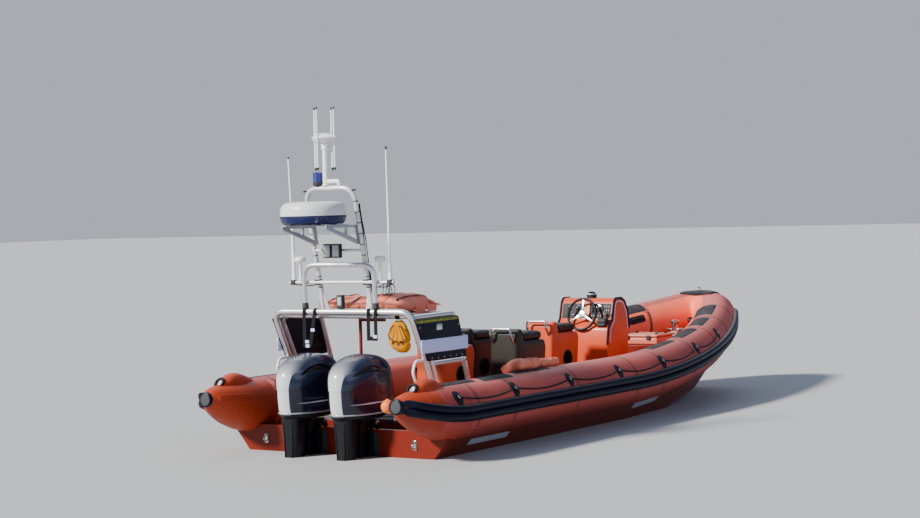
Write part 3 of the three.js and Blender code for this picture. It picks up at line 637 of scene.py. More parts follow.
DECK_PAINT = Finish("deck_grey_paint", "deck_nonslip", (0.075, 0.08, 0.085), 0.7, grain=PEBBLE,
                    grain_scale=220.0, depth=0.001, dust=0.2)
DECK = Finish("deck_nonslip_panel", "deck_nonslip", (0.03, 0.032, 0.035), 0.82, grain=PEBBLE,
              grain_scale=130.0, depth=0.002, dust=0.2)
TAPE = Finish("reflective_tape", "hull_gelcoat", (0.42, 0.47, 0.52), 0.3, grain=PEBBLE, grain_scale=500.0,
              dust=0.1)
HANDLE_BOWL = Finish("handle_bowl", "cone_fabric", (0.5, 0.52, 0.55), 0.25, coat=0.4, dust=0.1)
GREY_CAP = Finish("grey_rubber_disc", "strake_rubber", (0.05, 0.054, 0.065), 0.55, specular=0.3, dust=0.1)
STAINLESS = Finish("stainless_steel", "stainless", (0.5, 0.51, 0.53), 0.22, metallic=1.0, mottle=0.15,
                   dust=0.05, grain=BRUSHED, grain_scale=600.0, depth=0.0002)
CONSOLE = Finish("console_orange_gelcoat", "console_gelcoat", (0.56, 0.07, 0.022), 0.36, specular=0.3,
                 coat=0.06, other=(0.46, 0.056, 0.018), mottle=0.2, scuffed=0.02, dust=0.02, patch=2.0,
                 depth=0.0001)
SEAT_GREY = Finish("seat_grey_gelcoat", "seat_gelcoat", (0.021, 0.0205, 0.0165), 0.42, specular=0.25,
                   dust=0.02, patch=2.0, scuffed=0.05, depth=0.0002)
VINYL = Finish("black_seat_vinyl", "seat_vinyl", (0.01, 0.01, 0.011), 0.48, specular=0.3, grain=PEBBLE,
               grain_scale=420.0, depth=0.0007, dust=0.06)
BLACK = Finish("black_plastic", "black_plastic", (0.008, 0.008, 0.01), 0.42, specular=0.25, dust=0.05)
# Near black painted shade that stands in for the depth of openings.
OPENING_SHADE = Finish("dark_opening", "black_plastic", (0.002, 0.002, 0.0025), 0.8, specular=0.1, dust=0.0,
                scuffed=0.0)
SCREEN = Finish("instrument_glass", "black_plastic", (0.004, 0.005, 0.008), 0.08, coat=1.0, dust=0.03,
                scuffed=0.05)
SWITCH = Finish("switch_grey", "black_plastic", (0.09, 0.095, 0.1), 0.4, dust=0.05)
BOX = Finish("bow_box_orange", "hull_gelcoat", (0.56, 0.14, 0.1), 0.42, dust=0.12, patch=3.0)
ALLOY = Finish("frame_alloy", "frame_alloy", (0.6, 0.61, 0.63), 0.24, metallic=0.95, mottle=0.25,
               grain=BRUSHED, grain_scale=500.0, depth=0.0003, dust=0.04, patch=3.0)
MAST_PAINT = Finish("mast_white_alloy", "frame_alloy", (0.7, 0.7, 0.72), 0.3, metallic=0.3, mottle=0.2,
                    dust=0.05, patch=3.0)
BRACKET = Finish("bracket_grey_alloy", "bracket_alloy", (0.36, 0.38, 0.42), 0.38, metallic=0.3, mottle=0.25,
                 dust=0.06)
WHITE = Finish("white_plastic", "white_plastic", (0.7, 0.7, 0.7), 0.32, other=(0.56, 0.56, 0.55), dust=0.06,
               patch=4.0)
RADAR_SHELL = TwoTone("radar_white_and_blue", "white_plastic", (0.66, 0.68, 0.72), 0.26, specular=0.3,
                      other=(0.58, 0.6, 0.64), mottle=0.2, dust=0.03, below=(0.005, 0.01, 0.075),
                      height=2.229)
BLUE_LENS = Finish("blue_lens", "blue_lens", (0.002, 0.005, 0.05), 0.14, coat=0.4, other=(0.001, 0.002, 0.02),
                   dust=0.02)
LENS = Finish("lamp_glass", "black_plastic", (0.4, 0.43, 0.46), 0.1, coat=1.0, grain=PEBBLE,
              grain_scale=240.0, depth=0.001, dust=0.05)
PANEL = Finish("side_panel_fabric", "panel_navy", (0.005, 0.007, 0.019), 0.55, specular=0.2, grain=WEAVE,
               grain_scale=240.0, dust=0.03)
# White with painted shade: its blue tint stands in for blue sky light falling on it in shade.
SKY_SHADED_WHITE = Finish("white_board", "board_white", (0.52, 0.6, 0.94), 0.35, specular=0.3, other=(0.46, 0.53, 0.84),
               mottle=0.25, dust=0.04, patch=3.0)
BAG_ORANGE = Finish("orange_bag_fabric", "bag_orange", (0.88, 0.25, 0.16), 0.6, specular=0.3, grain=WEAVE,
                    grain_scale=150.0, depth=0.0007, other=(0.66, 0.14, 0.08), dust=0.06, patch=2.4)
BAG_YELLOW = Finish("yellow_bag_fabric", "bag_yellow", (0.52, 0.22, 0.004), 0.6, specular=0.12, grain=WEAVE,
                    grain_scale=170.0, depth=0.0006, other=(0.46, 0.13, 0.003), dust=0.0, patch=5.0,
                    scuffed=0.0)
LIME = Finish("lime_webbing", "bag_yellow", (0.2, 0.23, 0.02), 0.6, specular=0.2, grain=WEAVE,
              grain_scale=200.0, dust=0.03)
WEBBING = Finish("black_webbing", "panel_navy", (0.006, 0.006, 0.009), 0.7, specular=0.15, grain=WEAVE,
                 grain_scale=150.0, depth=0.0008, dust=0.02)
# Painted reflection: the red stands in for the orange tubes mirrored in the stay's metal.
REFLECTION_RED = Finish("red_painted_tube", "stay_red", (0.2, 0.028, 0.02), 0.4, specular=0.3, other=(0.14, 0.02, 0.016),
             dust=0.05)
BALL = Finish("orange_float", "ball_orange", (0.8, 0.2, 0.04), 0.42, specular=0.3, other=(0.66, 0.13, 0.03),
              dust=0.03, patch=6.0)
CASTING = Finish("black_engine_casting", "engine_casting", (0.005, 0.0055, 0.009), 0.38, specular=0.25,
                 dust=0.02, scuffed=0.15, depth=0.0004)
COWL = CowlPaint("cowl_paint", "engine_cowl", (0.006, 0.008, 0.022), 0.2, specular=0.4, coat=0.25, mottle=0.1,
                 other=(0.012, 0.016, 0.032), dust=0.0, scuffed=0.0, depth=0.00003)
TRIM = Finish("cowl_trim", "engine_cowl", (0.4, 0.43, 0.48), 0.3, metallic=0.3, dust=0.03)
POWERHEAD = Finish("powerhead_grey", "engine_block", (0.16, 0.17, 0.18), 0.5, metallic=0.5, dust=0.1,
                   patch=6.0)
SCREW = Finish("propeller_steel", "propeller_alloy", (0.32, 0.33, 0.34), 0.25, metallic=0.95, mottle=0.3,
               dust=0.03, patch=7.0)
ZINC = Finish("anode_zinc", "propeller_alloy", (0.4, 0.41, 0.42), 0.6, metallic=0.6, mottle=0.5, patch=12.0)


# Camera, floor and light


@dataclass(frozen=True)
class Studio:
    """The photograph's camera, a pale floor at the waterline and soft light."""

    eye: Point = (-18.61, -11.33, 2.28)
    heading: float = 33.47
    pitch: float = -1.497
    roll: float = -1.56
    lens: float = 79.1
    floor_size: float = 260.0

    def camera(self) -> None:
        """Sets the camera where the photograph was taken from."""
        yaw, pitch, roll = (math.radians(a) for a in (self.heading, self.pitch, self.roll))
        ahead = Vector((math.cos(yaw) * math.cos(pitch), math.sin(yaw) * math.cos(pitch), math.sin(pitch)))
        right = ahead.cross(Vector((0, 0, 1))).normalized()
        up = right.cross(ahead)
        level = right * math.cos(roll) + up * math.sin(roll)
        top = up * math.cos(roll) - right * math.sin(roll)
        bpy.ops.object.camera_add(location=self.eye)
        camera = bpy.context.object
        turn = Matrix((level, top, -ahead)).transposed().to_4x4()
        camera.matrix_world = Matrix.Translation(self.eye) @ turn
        camera.data.lens, camera.data.sensor_width = self.lens, 36.0
        camera.data.clip_end = 400.0
        bpy.context.scene.camera = camera

    def floor(self) -> None:
        """Lays a plain pale floor at the waterline."""
        bpy.ops.object.select_all(action="DESELECT")
        bpy.ops.mesh.primitive_plane_add(size=self.floor_size, location=(0, 0, 0))
        floor = bpy.context.object
        floor.name = "studio_floor"
        paint = bpy.data.materials.new("studio_floor")
        paint.use_nodes = True
        shader = paint.node_tree.nodes["Principled BSDF"]
        shader.inputs["Base Color"].default_value = (0.42, 0.435, 0.45, 1)
        shader.inputs["Roughness"].default_value = 0.9
        floor.data.materials.append(paint)

    def lamp(self, name: str, way: Sequence[float], power: float, spread: float, colour: Colour) -> None:
        """A soft distant light.

        Args:
            name: The light's name.
            way: The direction from the boat to the light.
            power: Its power in watts per square metre.
            spread: How wide it looks, in degrees.
            colour: Its colour.
        """
        bpy.ops.object.light_add(type="SUN", location=(0, 0, 12))
        light = bpy.context.object
        light.name = name
        light.rotation_mode = "QUATERNION"
        light.rotation_quaternion = Vector(way).normalized().to_track_quat("Z", "Y")
        light.data.energy, light.data.angle, light.data.color = power, math.radians(spread), colour

    def backdrop(self) -> None:
        """A blue-grey sky to light by, which the camera sees as a plain pale backdrop."""
        world = bpy.data.worlds.new("studio")
        world.use_nodes = True
        graph = Graph(world.node_tree)
        sky = graph.add("Background", {0: (0.55, 0.66, 1.0, 1), 1: 0.34})
        paper = graph.add("Background", {0: (0.6, 0.64, 0.7, 1), 1: 0.8})
        seen = graph.add("LightPath").outputs["Is Camera Ray"]
        both = graph.add("MixShader", {0: seen, 1: sky.outputs[0], 2: paper.outputs[0]})
        graph.add("OutputWorld", {0: both.outputs[0]})
        bpy.context.scene.world = world

    def build(self) -> None:
        """Sets up all of the studio."""
        self.camera()
        self.floor()
        self.lamp("key_light", (-0.78, 0.45, 0.58), 8.6, 7, (1.0, 0.94, 0.85))
        self.lamp("fill_light", (-0.35, -1.0, 0.5), 0.5, 40, (0.8, 0.88, 1.0))
        self.lamp("back_light", (0.9, 0.5, 0.8), 0.7, 40, (0.9, 0.95, 1.0))
        self.backdrop()


def settle(obj: Object, finish: Finish, body: str = "boat", replaces: Sequence[str] = (),
           smooth: float = 35.0) -> Object:
    """Dresses a finished piece, sets it on its body and reports it.

    Args:
        obj: The piece.
        finish: Its finish.
        body: The frame body that it rides on.
        replaces: The frame nodes that it stands for.
        smooth: The angle in degrees below which its faces shade as one.

    Returns:
        The same piece.
    """
    obj.data.materials.clear()
    obj.data.materials.append(finish.material())
    choose(obj)
    bpy.ops.object.shade_smooth_by_angle(angle=math.radians(smooth))
    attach(obj, body)
    if replaces:
        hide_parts(*replaces)
    log.info("%s rides on %s with %d faces", obj.name, body, len(obj.data.polygons))
    return obj


# The buoyancy collar


@dataclass(frozen=True)
class TubeLine:
    """The centre line of the buoyancy tube, by the distance along it from the tail joint.

    A distance below 0 lies on the tail cone. Angles go from 0, outboard, over 90, the top, to 180, inboard.
    """

    radius: float = 0.26
    half_spacing: float = 1.125
    height: float = 0.42
    tail_x: float = -3.4
    arc_start: float = 0.069
    side_radius: float = 8.2
    nose_radius: float = 0.27
    rise: float = 0.46
    rise_start: float = -0.3
    rise_length: float = 4.22
    rise_power: float = 1.6
    cone_length: float = 0.79
    tip_radius: float = 0.06
    tip: tuple[float, float] = (1.09, 0.535)

    @property
    def shoulder(self) -> float:
        """The heading at which the side's arc meets the nose's."""
        return math.acos((self.side_radius - self.half_spacing) / (self.side_radius - self.nose_radius))

    @property
    def length(self) -> float:
        """The distance from the tail joint to the nose."""
        side = self.side_radius * self.shoulder
        return self.arc_start - self.tail_x + side + self.nose_radius * (math.pi / 2 - self.shoulder)

    def lift_at(self, x: float) -> float:
        """The height of the centre line over the waterline."""
        along = max(0.0, (x - self.rise_start) / self.rise_length)
        return self.height + self.rise * along**self.rise_power

    def distance(self, x: float) -> float:
        """The distance at which the line passes a place along the boat."""
        if x <= self.arc_start:
            return x - self.tail_x
        turn = math.asin((x - self.arc_start) / self.side_radius)
        return self.arc_start - self.tail_x + self.side_radius * turn

    def station(self, distance: float) -> tuple[Vector, float, float]:
        """The port side's centre, heading and radius at a distance."""
        if distance < 0:
            t = min(1.0, -distance / self.cone_length)
            y = self.half_spacing + (self.tip[0] - self.half_spacing) * t * t
            z = self.height + (self.tip[1] - self.height) * t * t
            radius = self.tip_radius + (self.radius - self.tip_radius) * (1 - t * t) ** 0.75
            return Vector((self.tail_x + distance, y, z)), 0.0, radius
        straight = self.arc_start - self.tail_x
        if distance <= straight:
            x = self.tail_x + distance
            return Vector((x, self.half_spacing, self.lift_at(x))), 0.0, self.radius
        heading = (distance - straight) / self.side_radius
        turn = min(heading, self.shoulder)
        x = self.arc_start + self.side_radius * math.sin(turn)
        y = self.half_spacing - self.side_radius * (1 - math.cos(turn))
        if heading > self.shoulder:
            left = distance - straight - self.side_radius * self.shoulder
            heading = min(math.pi / 2, self.shoulder + left / self.nose_radius)
            x += self.nose_radius * (math.sin(heading) - math.sin(self.shoulder))
            y -= self.nose_radius * (math.cos(self.shoulder) - math.cos(heading))
        return Vector((x, y, self.lift_at(x))), heading, self.radius

    def point(self, distance: float, out: float, up: float, side: Side, inside: float = 0.0) -> Vector:
        """A point beside the centre line.

        Args:
            distance: Where along the line it lies.
            out: How far outboard of the line.
            up: How far above it.
            side: The side of the boat.
            inside: The least half breadth, which keeps the two sides apart at the nose.

        Returns:
            The point.
        """
        centre, heading, _ = self.station(distance)
        y = max(centre.y + out * math.cos(heading), inside)
        return side.at(centre.x + out * math.sin(heading), y, centre.z + up)

    def skin(self, distance: float, angle: float, side: Side, lift: float = 0.0) -> Vector:
        """A point on the tube's skin at an angle in degrees, lifted off it by a little."""
        reach = self.station(distance)[2] + lift
        turn = math.radians(angle)
        return self.point(distance, reach * math.cos(turn), reach * math.sin(turn), side)


LINE = TubeLine()


def eased(value: float, low: float, high: float) -> float:
    """0 below low, 1 above high and a smooth step between."""
    t = min(1.0, max(0.0, (value - low) / (high - low)))
    return t * t * (3 - 2 * t)


# Shaping flat plates, straps and rings


def slab(name: str, outline: Sequence[Sequence[float]], push: Sequence[float], edge: float = 0.0,
         segments: int = 3) -> Object:
    """A flat outline pushed out to a plate.

    Args:
        name: The piece's name.
        outline: The corners of one face, in order.
        push: The way and distance to the other face.
        edge: How wide its rounded edges are, or 0 for none.
        segments: How many faces go across a rounded edge.

    Returns:
        The plate.
    """
    bpy.ops.object.select_all(action="DESELECT")
    bpy.ops.mesh.primitive_circle_add(vertices=len(outline), radius=1, fill_type="NGON", location=(0, 0, 0))
    obj = bpy.context.object
    obj.name = name
    for vertex, corner in zip(obj.data.vertices, outline):
        vertex.co = corner
    with editing(obj):
        bpy.ops.mesh.extrude_region_move(TRANSFORM_OT_translate={"value": tuple(push)})
        bpy.ops.mesh.select_all(action="SELECT")
        bpy.ops.mesh.normals_make_consistent(inside=False)
    return bevelled(obj, edge, segments, 20.0) if edge else obj


def upright(name: str, outline: Outline, y0: float, y1: float, edge: float = 0.0,
            segments: int = 3) -> Object:
    """A plate in the boat's length, from an (x, z) outline and its two breadths."""
    return slab(name, [(x, y0, z) for x, z in outline], (0, y1 - y0, 0), edge, segments)


def ribbon(name: str, path: Sequence[Vector], width: float, thickness: float,
           across: Sequence[float]) -> Object:
    """A flat strap along a path.

    Args:
        name: The strap's name.
        path: The points of its middle.
        width: Its width.
        thickness: Its thickness.
        across: The direction of its width.

    Returns:
        The strap.
    """
    a, b, side = width / 2, thickness / 2, Vector(across).normalized()
    ring = [(-a, -b * 0.4), (-a * 0.94, -b), (a * 0.94, -b), (a, -b * 0.4), (a, b * 0.4), (a * 0.94, b),
            (-a * 0.94, b), (-a, b * 0.4), (-a, -b * 0.4)]
    last = len(path) - 1

    def place(u: float, v: float) -> Vector:
        i = round(u * last)
        along = (path[min(i + 1, last)] - path[max(i - 1, 0)]).normalized()
        out, up = ring[round(v * (len(ring) - 1))]
        return path[i] + side * out + along.cross(side).normalized() * up

    return wrapped(name, last, len(ring) - 1, place)


def arc(centre: Sequence[float], across: Sequence[float], up: Sequence[float], steps: int,
        turns: float = 1.0) -> list[Vector]:
    """Points on an arc.

    Args:
        centre: The arc's centre.
        across: The arm from the centre to the first point.
        up: The arm a quarter turn later.
        steps: How many steps the arc has.
        turns: How far it goes round.

    Returns:
        The points, both ends included.
    """
    angles = (2 * math.pi * turns * i / steps for i in range(steps + 1))
    return [Vector(centre) + Vector(across) * math.cos(a) + Vector(up) * math.sin(a) for a in angles]


def within(u: float, v: float, steep: float) -> float:
    """1 over a patch and falling to 0 at its border."""
    return min(1.0, steep * (1 - max(abs(2 * u - 1), abs(2 * v - 1))))


def kept_in(obj: Object, low: Sequence[float], high: Sequence[float]) -> Object:
    """Holds a mesh's points between two corners of a box."""
    for vertex in obj.data.vertices:
        vertex.co = [max(a, min(b, c)) for a, b, c in zip(low, high, vertex.co)]
    return obj


def oval(x0: float, x1: float, half: float, turn: float, power: float) -> tuple[float, float]:
    """A point of a rounded outline between two places, at a turn in radians."""
    c, s = math.cos(turn), math.sin(turn)
    grow = 2 / power
    along = (x0 + x1) / 2 + (x1 - x0) / 2 * math.copysign(abs(c) ** grow, c)
    return along, half * math.copysign(abs(s) ** grow, s)


def smooth_row(rows: Sequence[Sequence[float]], t: float) -> list[float]:
    """A row between rows of numbers, on a smooth curve through them, at t from 0 to 1."""
    place = t * (len(rows) - 1)
    i = min(int(place), len(rows) - 2)
    f = place - i
    before, first, last, after = (rows[min(max(k, 0), len(rows) - 1)] for k in (i - 1, i, i + 1, i + 2))
    return [0.5 * (2 * b + (c - a) * f + (2 * a - 5 * b + 4 * c - d) * f * f + (3 * b - a - 3 * c + d) * f**3)
            for a, b, c, d in zip(before, first, last, after)]


def smooth_profile(rows: Outline, steps: int, widest: float = math.inf) -> Outline:
    """A profile for turning, on a smooth curve through rows of (radius, height), kept within them."""
    points = (smooth_row(rows, i / steps) for i in range(1, steps))
    top = rows[-1][1]
    return [rows[0], *((max(0.0, min(widest, a)), max(0.0, min(top, b))) for a, b in points), rows[-1]]


def stuffed(obj: Object, voxel: float, cap: float, pressure: float = 4.0) -> Object:
    """Swells a soft shape as fabric filled with foam does.

    Args:
        obj: The shape, a little smaller than it ends.
        voxel: The size of the new mesh's faces.
        cap: The furthest that a point may move.
        pressure: How hard it is filled.

    Returns:
        The same piece.
    """
    modify(obj, "REMESH", mode="VOXEL", voxel_size=voxel)
    start = [v.co.copy() for v in obj.data.vertices]
    choose(obj)
    cloth = obj.modifiers.new("Cloth", "CLOTH")
    cloth.settings.use_pressure, cloth.settings.uniform_pressure_force = True, pressure
    cloth.settings.effector_weights.gravity = 0.0
    cloth.settings.quality = 4
    for number in range(1, 21):
        bpy.context.scene.frame_set(number)
    bpy.ops.object.modifier_apply(modifier=cloth.name)
    bpy.context.scene.frame_set(1)
    for vertex, old in zip(obj.data.vertices, start):
        step = vertex.co - old
        if step.length > cap:
            vertex.co = old + step * (cap / step.length)
    return modify(obj, "SUBSURF", levels=1, render_levels=1)


def sewn(obj: Object, depth: float, width: float, gap: Callable[[Vector], float]) -> Object:
    """Pulls a fabric in along its seams.

    Args:
        obj: The soft piece.
        depth: How deep a seam lies.
        width: How wide the pull is.
        gap: A point's distance from the nearest seam.

    Returns:
        The same piece.
    """
    normals = [v.normal.copy() for v in obj.data.vertices]
    for vertex, normal in zip(obj.data.vertices, normals):
        vertex.co -= normal * depth * math.exp(-((gap(vertex.co) / width) ** 2))
    return obj


def snug(obj: Object, point: Sequence[float], lift: float = 0.0) -> Vector:
    """The nearest point on a piece's surface, lifted off it."""
    _, at, normal, _ = obj.closest_point_on_mesh(Vector(point))
    return at + normal * lift


def dress(node: str, finish: Finish) -> None:
    """Gives a frame node that keeps its shape a finish."""
    obj = frame["nodes"][node]
    obj.data.materials.clear()
    obj.data.materials.append(finish.material())
    log.info("%s keeps its shape and wears %s", node, finish.name)


@dataclass
class Collar:
    """Tubes, tail cones, rubbing rail and all that is glued to them."""

    seams: tuple[float, ...] = (-3.3, -2.67, -1.5, -0.3, 0.28, 1.12, 1.9, 2.56, 3.2)
    patches: tuple[float, ...] = (-3.58, -2.63, -1.62, -0.63, 0.32, 1.25, 2.11)
    patch_angle: float = 34.0
    pads: tuple[tuple[float, float, float, float], ...] = (
        (-3.7, -3.08, 70, 95), (-3.0, -2.46, 65, 97), (-2.38, -1.7, 75, 99), (0.38, 1.04, 76, 116),
        (1.2, 1.82, 74, 116), (1.97, 2.48, 74, 118), (2.62, 3.2, 76, 134))
    handles: tuple[float, ...] = (-0.9, 1.5, 3.0)
    hoops: tuple[float, ...] = (0.348, 0.52)
    coral_end: tuple[float, float] = (0.375, 0.382)
    rope_radius: float = 0.0075
    rope_lift: float = 0.012
    rope_sag: float = 10.0
    rope_steps: int = 14

    @staticmethod
    def angle(v: float) -> float:
        """The angle in degrees at a share of the way round, from -90, the bottom, to 270."""
        return (360 * v + 90) % 360 - 90

    def sun(self, _: float, v: float) -> float:
        """How faded the fabric is: most on the outside and top, not at all inside."""
        return eased(self.angle(v), -70, -10) * (1 - eased(self.angle(v), 118, 124))

    def wet(self, _: float, v: float) -> float:
        """How much painted shade darkens the fabric: only on the outside, below the rail."""
        return 1 - eased(self.angle(v), -45, -8)

    def tube(self, side: Side) -> None:
        """One side's tube, pinched a little at its seams."""
        distances = [LINE.distance(x) for x in self.seams]

        def place(u: float, v: float) -> Vector:
            distance, angle = LINE.length * u, 2 * math.pi * v
            near = min(abs(distance - d) for d in distances)
            reach = LINE.radius + 0.0025 - 0.005 * math.exp(-((near / 0.035) ** 2))
            return LINE.point(distance, reach * math.cos(angle), reach * math.sin(angle), side, 0.00015)

        # The second mark lays painted shade on the tube's underside.
        obj = wrapped(f"tube_{side.word}", 230, 56, place, marks={"sun": self.sun, "wet": self.wet})
        settle(obj, TUBE, replaces=[f"sponson_{side.word}_aft", f"sponson_{side.word}_fore"], smooth=60)

    def cone(self, side: Side) -> None:
        """One side's tail cone with the hoops of its fabric, a panel inside and a handle on top."""

        def place(u: float, v: float) -> Vector:
            distance, angle = -LINE.cone_length * math.sin(u * math.pi / 2), 2 * math.pi * v
            welt = sum(0.003 * math.exp(-(((-distance - hoop) / 0.008) ** 2)) for hoop in self.hoops)
            reach = LINE.station(distance)[2] + 0.002 + welt
            return LINE.point(distance, reach * math.cos(angle), reach * math.sin(angle), side)

        def sun(u: float, v: float) -> float:
            reach = LINE.cone_length * math.sin(u * math.pi / 2)
            return self.sun(u, v) * (1 - eased(reach, *self.coral_end))

        def panel(u: float, v: float) -> Vector:
            lift = 0.001 + 0.007 * within(u, v, 12)
            return LINE.skin(-0.32 - 0.42 * u, 149 + (20 + 18 * u) * v, side, lift)

        # The second mark lays painted shade on the cone's underside.
        shell = wrapped(f"cone_{side.word}", 90, 56, place, marks={"sun": sun, "wet": self.wet})
        settle(shell, CONE, replaces=[f"tail_cone_{side.word}"], smooth=60)
        settle(wrapped(f"cone_panel_{side.word}", 40, 16, panel, caps=False), CONE)
        self.cup_handle(side)

    def cup_handle(self, side: Side) -> None:
        """The black oval ring round a pale hollow, which faces aft from a hump on the cone's top."""
        at, out = side.at(-3.978, 1.108, 0.67), Vector((-0.78, 0, 0.626))
        rows = ((-3.967, 0.661, 0.06, 0.067), (-3.92, 0.66, 0.078, 0.086), (-3.85, 0.656, 0.09, 0.1),
                (-3.74, 0.638, 0.104, 0.112), (-3.62, 0.612, 0.104, 0.102), (-3.46, 0.58, 0.09, 0.07))
        along, across = Vector((0, side.value, 0)), Vector((0.626, 0, 0.78))

        def spot(a: float, reach: float, proud: float) -> Vector:
            wide, high = 0.043 * reach * math.cos(a), 0.05 * reach * math.sin(a)
            return at + along * wide + across * high + out * proud

        def ring(u: float, v: float) -> Vector:
            a, b = 2 * math.pi * u, 2 * math.pi * v
            return spot(a, 1 + 0.3 * math.cos(b), 0.013 * math.sin(b))

        def hump(u: float, v: float) -> Vector:
            a, (x, z, wide, high) = 2 * math.pi * u, smooth_row(rows, v)
            up = across.lerp(Vector((0, 0, 1)), eased(v, 0, 0.7))
            return Vector((x, at.y, z)) + along * (wide * math.cos(a)) + up * (high * math.sin(a))

        def bowl(u: float, v: float) -> Vector:
            return spot(2 * math.pi * u, 0.98 * v, 0.01 * v * v - 0.0125)

        settle(wrapped(f"cone_handle_hump_{side.word}", 48, 30, hump), CONE, smooth=60)
        settle(wrapped(f"cone_handle_bowl_{side.word}", 40, 8, bowl, caps=False), HANDLE_BOWL)
        settle(wrapped(f"cone_handle_ring_{side.word}", 48, 14, ring), PATCH)

    def rail(self, side: Side) -> None:
        """The black two-lobed rubbing rail of one side."""
        lobes = []
        for i in range(25):
            t = -1 + i / 12
            lobe = abs(math.sin(math.pi * abs(t) ** 0.9)) ** 0.55
            lobes.append((0.012 + 0.03 * lobe if abs(t) < 0.999 else 0.004, 0.075 * t))
        section = [(-0.012, -0.075), *lobes, (-0.012, 0.075)]
        end, last = LINE.cone_length + 0.014, len(section) - 1

        def place(u: float, v: float) -> Vector:
            i = round(v * last)
            out, up = section[i]
            distance = -end + (LINE.length + end) * u
            base = LINE.station(distance)[2]
            turn = math.radians(-155 + 310 * i / last)
            round_out, round_up = 0.067 * math.cos(turn), 0.067 * math.sin(turn)
            w = eased(distance, -end, -end + 0.07)
            out = round_out + (base + out - round_out) * w
            return LINE.point(distance, out, round_up + (up - round_up) * w, side)

        obj = wrapped(f"rubbing_rail_{side.word}", 260, last, place)
        settle(obj, RUBBER, replaces=["rubbing_strake"], smooth=50)

    def rail_butt(self, side: Side) -> None:
        """The round end of the rail at the cone's tip, with its grey disc."""
        at = side.at(-4.12, LINE.tip[0], LINE.tip[1])
        ring = [(0, 0), (0.07, 0), (0.072, 0.03), (0.072, 0.085), (0.069, 0.095), (0.063, 0.098),
                (0.059, 0.09), (0, 0.09)]
        disc = [(0, 0.088), (0.058, 0.088), (0.057, 0.095), (0.051, 0.0965), (0.049, 0.093), (0.03, 0.094),
                (0, 0.095)]
        settle(turned(f"rail_butt_{side.word}", ring, at, (-1, 0, 0)), RUBBER)
        settle(turned(f"rail_butt_disc_{side.word}", disc, at, (-1, 0, 0)), GREY_CAP)

    def sheet(self, name: str, side: Side, spans: tuple[float, float, float, float], lift: float,
              corner: float = 0.03) -> Object:
        """A thin patch on the tube's skin with rounded corners.

        Args:
            name: The patch's name.
            side: The side of the boat.
            spans: Its first and last place along the boat and its first and last angle.
            lift: How thick it is.
            corner: The radius of its corners.

        Returns:
            The patch.
        """
        first, last = LINE.distance(spans[0]), LINE.distance(spans[1])
        arc = LINE.radius * math.radians(spans[3] - spans[2])

        def place(u: float, v: float) -> Vector:
            a, b = abs(2 * u - 1), abs(2 * v - 1)
            inset = max(0.0, a - 1 + 2 * corner / (last - first)) * (last - first) / (2 * corner)
            pull = corner / arc * (1 - math.sqrt(max(0.0, 1 - inset * inset)))
            v = 0.5 + (v - 0.5) * (1 - 2 * pull)
            edge = min(1.0, 12 * (1 - max(a, b)))
            angle = spans[2] + (spans[3] - spans[2]) * v
            return LINE.skin(first + (last - first) * u, angle, side, 0.001 + lift * edge)

        return wrapped(name, 44, 16, place, caps=False)

    def glued(self, side: Side) -> None:
        """Seam tapes, anti-slip pads with their borders, and the small dark handles inside."""
        tapes = [self.sheet("tape", side, (x - 0.02, x + 0.02, -35, 205), 0.0012, 0.005) for x in self.seams]
        settle(joined(f"seam_tapes_{side.word}", *tapes), SEAM)
        borders = [self.sheet("border", side, (x0 - 0.03, x1 + 0.03, low - 4, high + 4), 0.0014)
                   for x0, x1, low, high in self.pads]
        settle(joined(f"pad_borders_{side.word}", *borders), BORDER)
        pads = [self.sheet("pad", side, spans, 0.0045) for spans in self.pads]
        settle(joined(f"anti_slip_pads_{side.word}", *pads), PAD)
        for i, x in enumerate(self.handles):
            base = self.sheet("base", side, (x - 0.13, x + 0.13, 142, 164), 0.003, 0.04)
            d = LINE.distance(x)
            grip = [LINE.skin(d + t * 0.1, 153, side, 0.012 + 0.028 * (1 - t * t))
                    for t in (-1, -0.75, -0.4, 0, 0.4, 0.75, 1)]
            settle(joined(f"tube_handle_{side.word}_{i}", base, pipe("grip", grip, 0.013)), PATCH)

    def lens(self, side: Side, x: float) -> Object:
        """The pointed black patch that holds the grab line, with its strap."""
        d = LINE.distance(x)

        def place(u: float, v: float) -> Vector:
            t = 2 * v - 1
            half = 0.062 * math.sqrt(max(0.0, 1 - t * t)) ** 1.15 + 0.0004
            lift = 0.001 + 0.004 * within(u, v, 6)
            return LINE.skin(d + half * (2 * u - 1), self.patch_angle + 18.5 * t, side, lift)

        def strap(u: float, v: float) -> Vector:
            t = 2 * v - 1
            return LINE.skin(d + 0.016 * (2 * u - 1), self.patch_angle + 7 * t, side,
                             0.004 + 0.014 * (1 - t**4))

        return joined("lens", wrapped("lens", 10, 18, place, caps=False),
                      wrapped("strap", 4, 14, strap, caps=False))

    def eyelet(self, side: Side, x: float) -> Object:
        """The pale ring on a patch that the grab line passes."""
        at = LINE.skin(LINE.distance(x), self.patch_angle, side, 0.017)
        out = at - LINE.skin(LINE.distance(x), self.patch_angle, side)
        return turned("ring", [(0.006, -0.003), (0.015, -0.003), (0.017, 0.0), (0.015, 0.004), (0.006, 0.004),
                               (0.006, -0.003)], at, out, 24)

    def grab_line(self, side: Side) -> None:
        """The rope through the patches, lying on the tube and sagging a little between them."""
        settle(joined(f"grab_patches_{side.word}", *(self.lens(side, x) for x in self.patches)), PATCH)
        settle(joined(f"grab_rings_{side.word}", *(self.eyelet(side, x) for x in self.patches)), STAINLESS)
        stops = [LINE.distance(x) for x in self.patches]
        path = []
        for first, last in zip(stops, stops[1:]):
            for i in range(self.rope_steps + (last == stops[-1])):
                t = i / self.rope_steps
                angle = self.patch_angle - self.rope_sag * (1 - (2 * t - 1) ** 2)
                path.append(LINE.skin(first + (last - first) * t, angle, side, self.rope_lift))
        rope = pipe(f"grab_line_{side.word}", path, self.rope_radius, ring=3)
        settle(rope, ROPE)

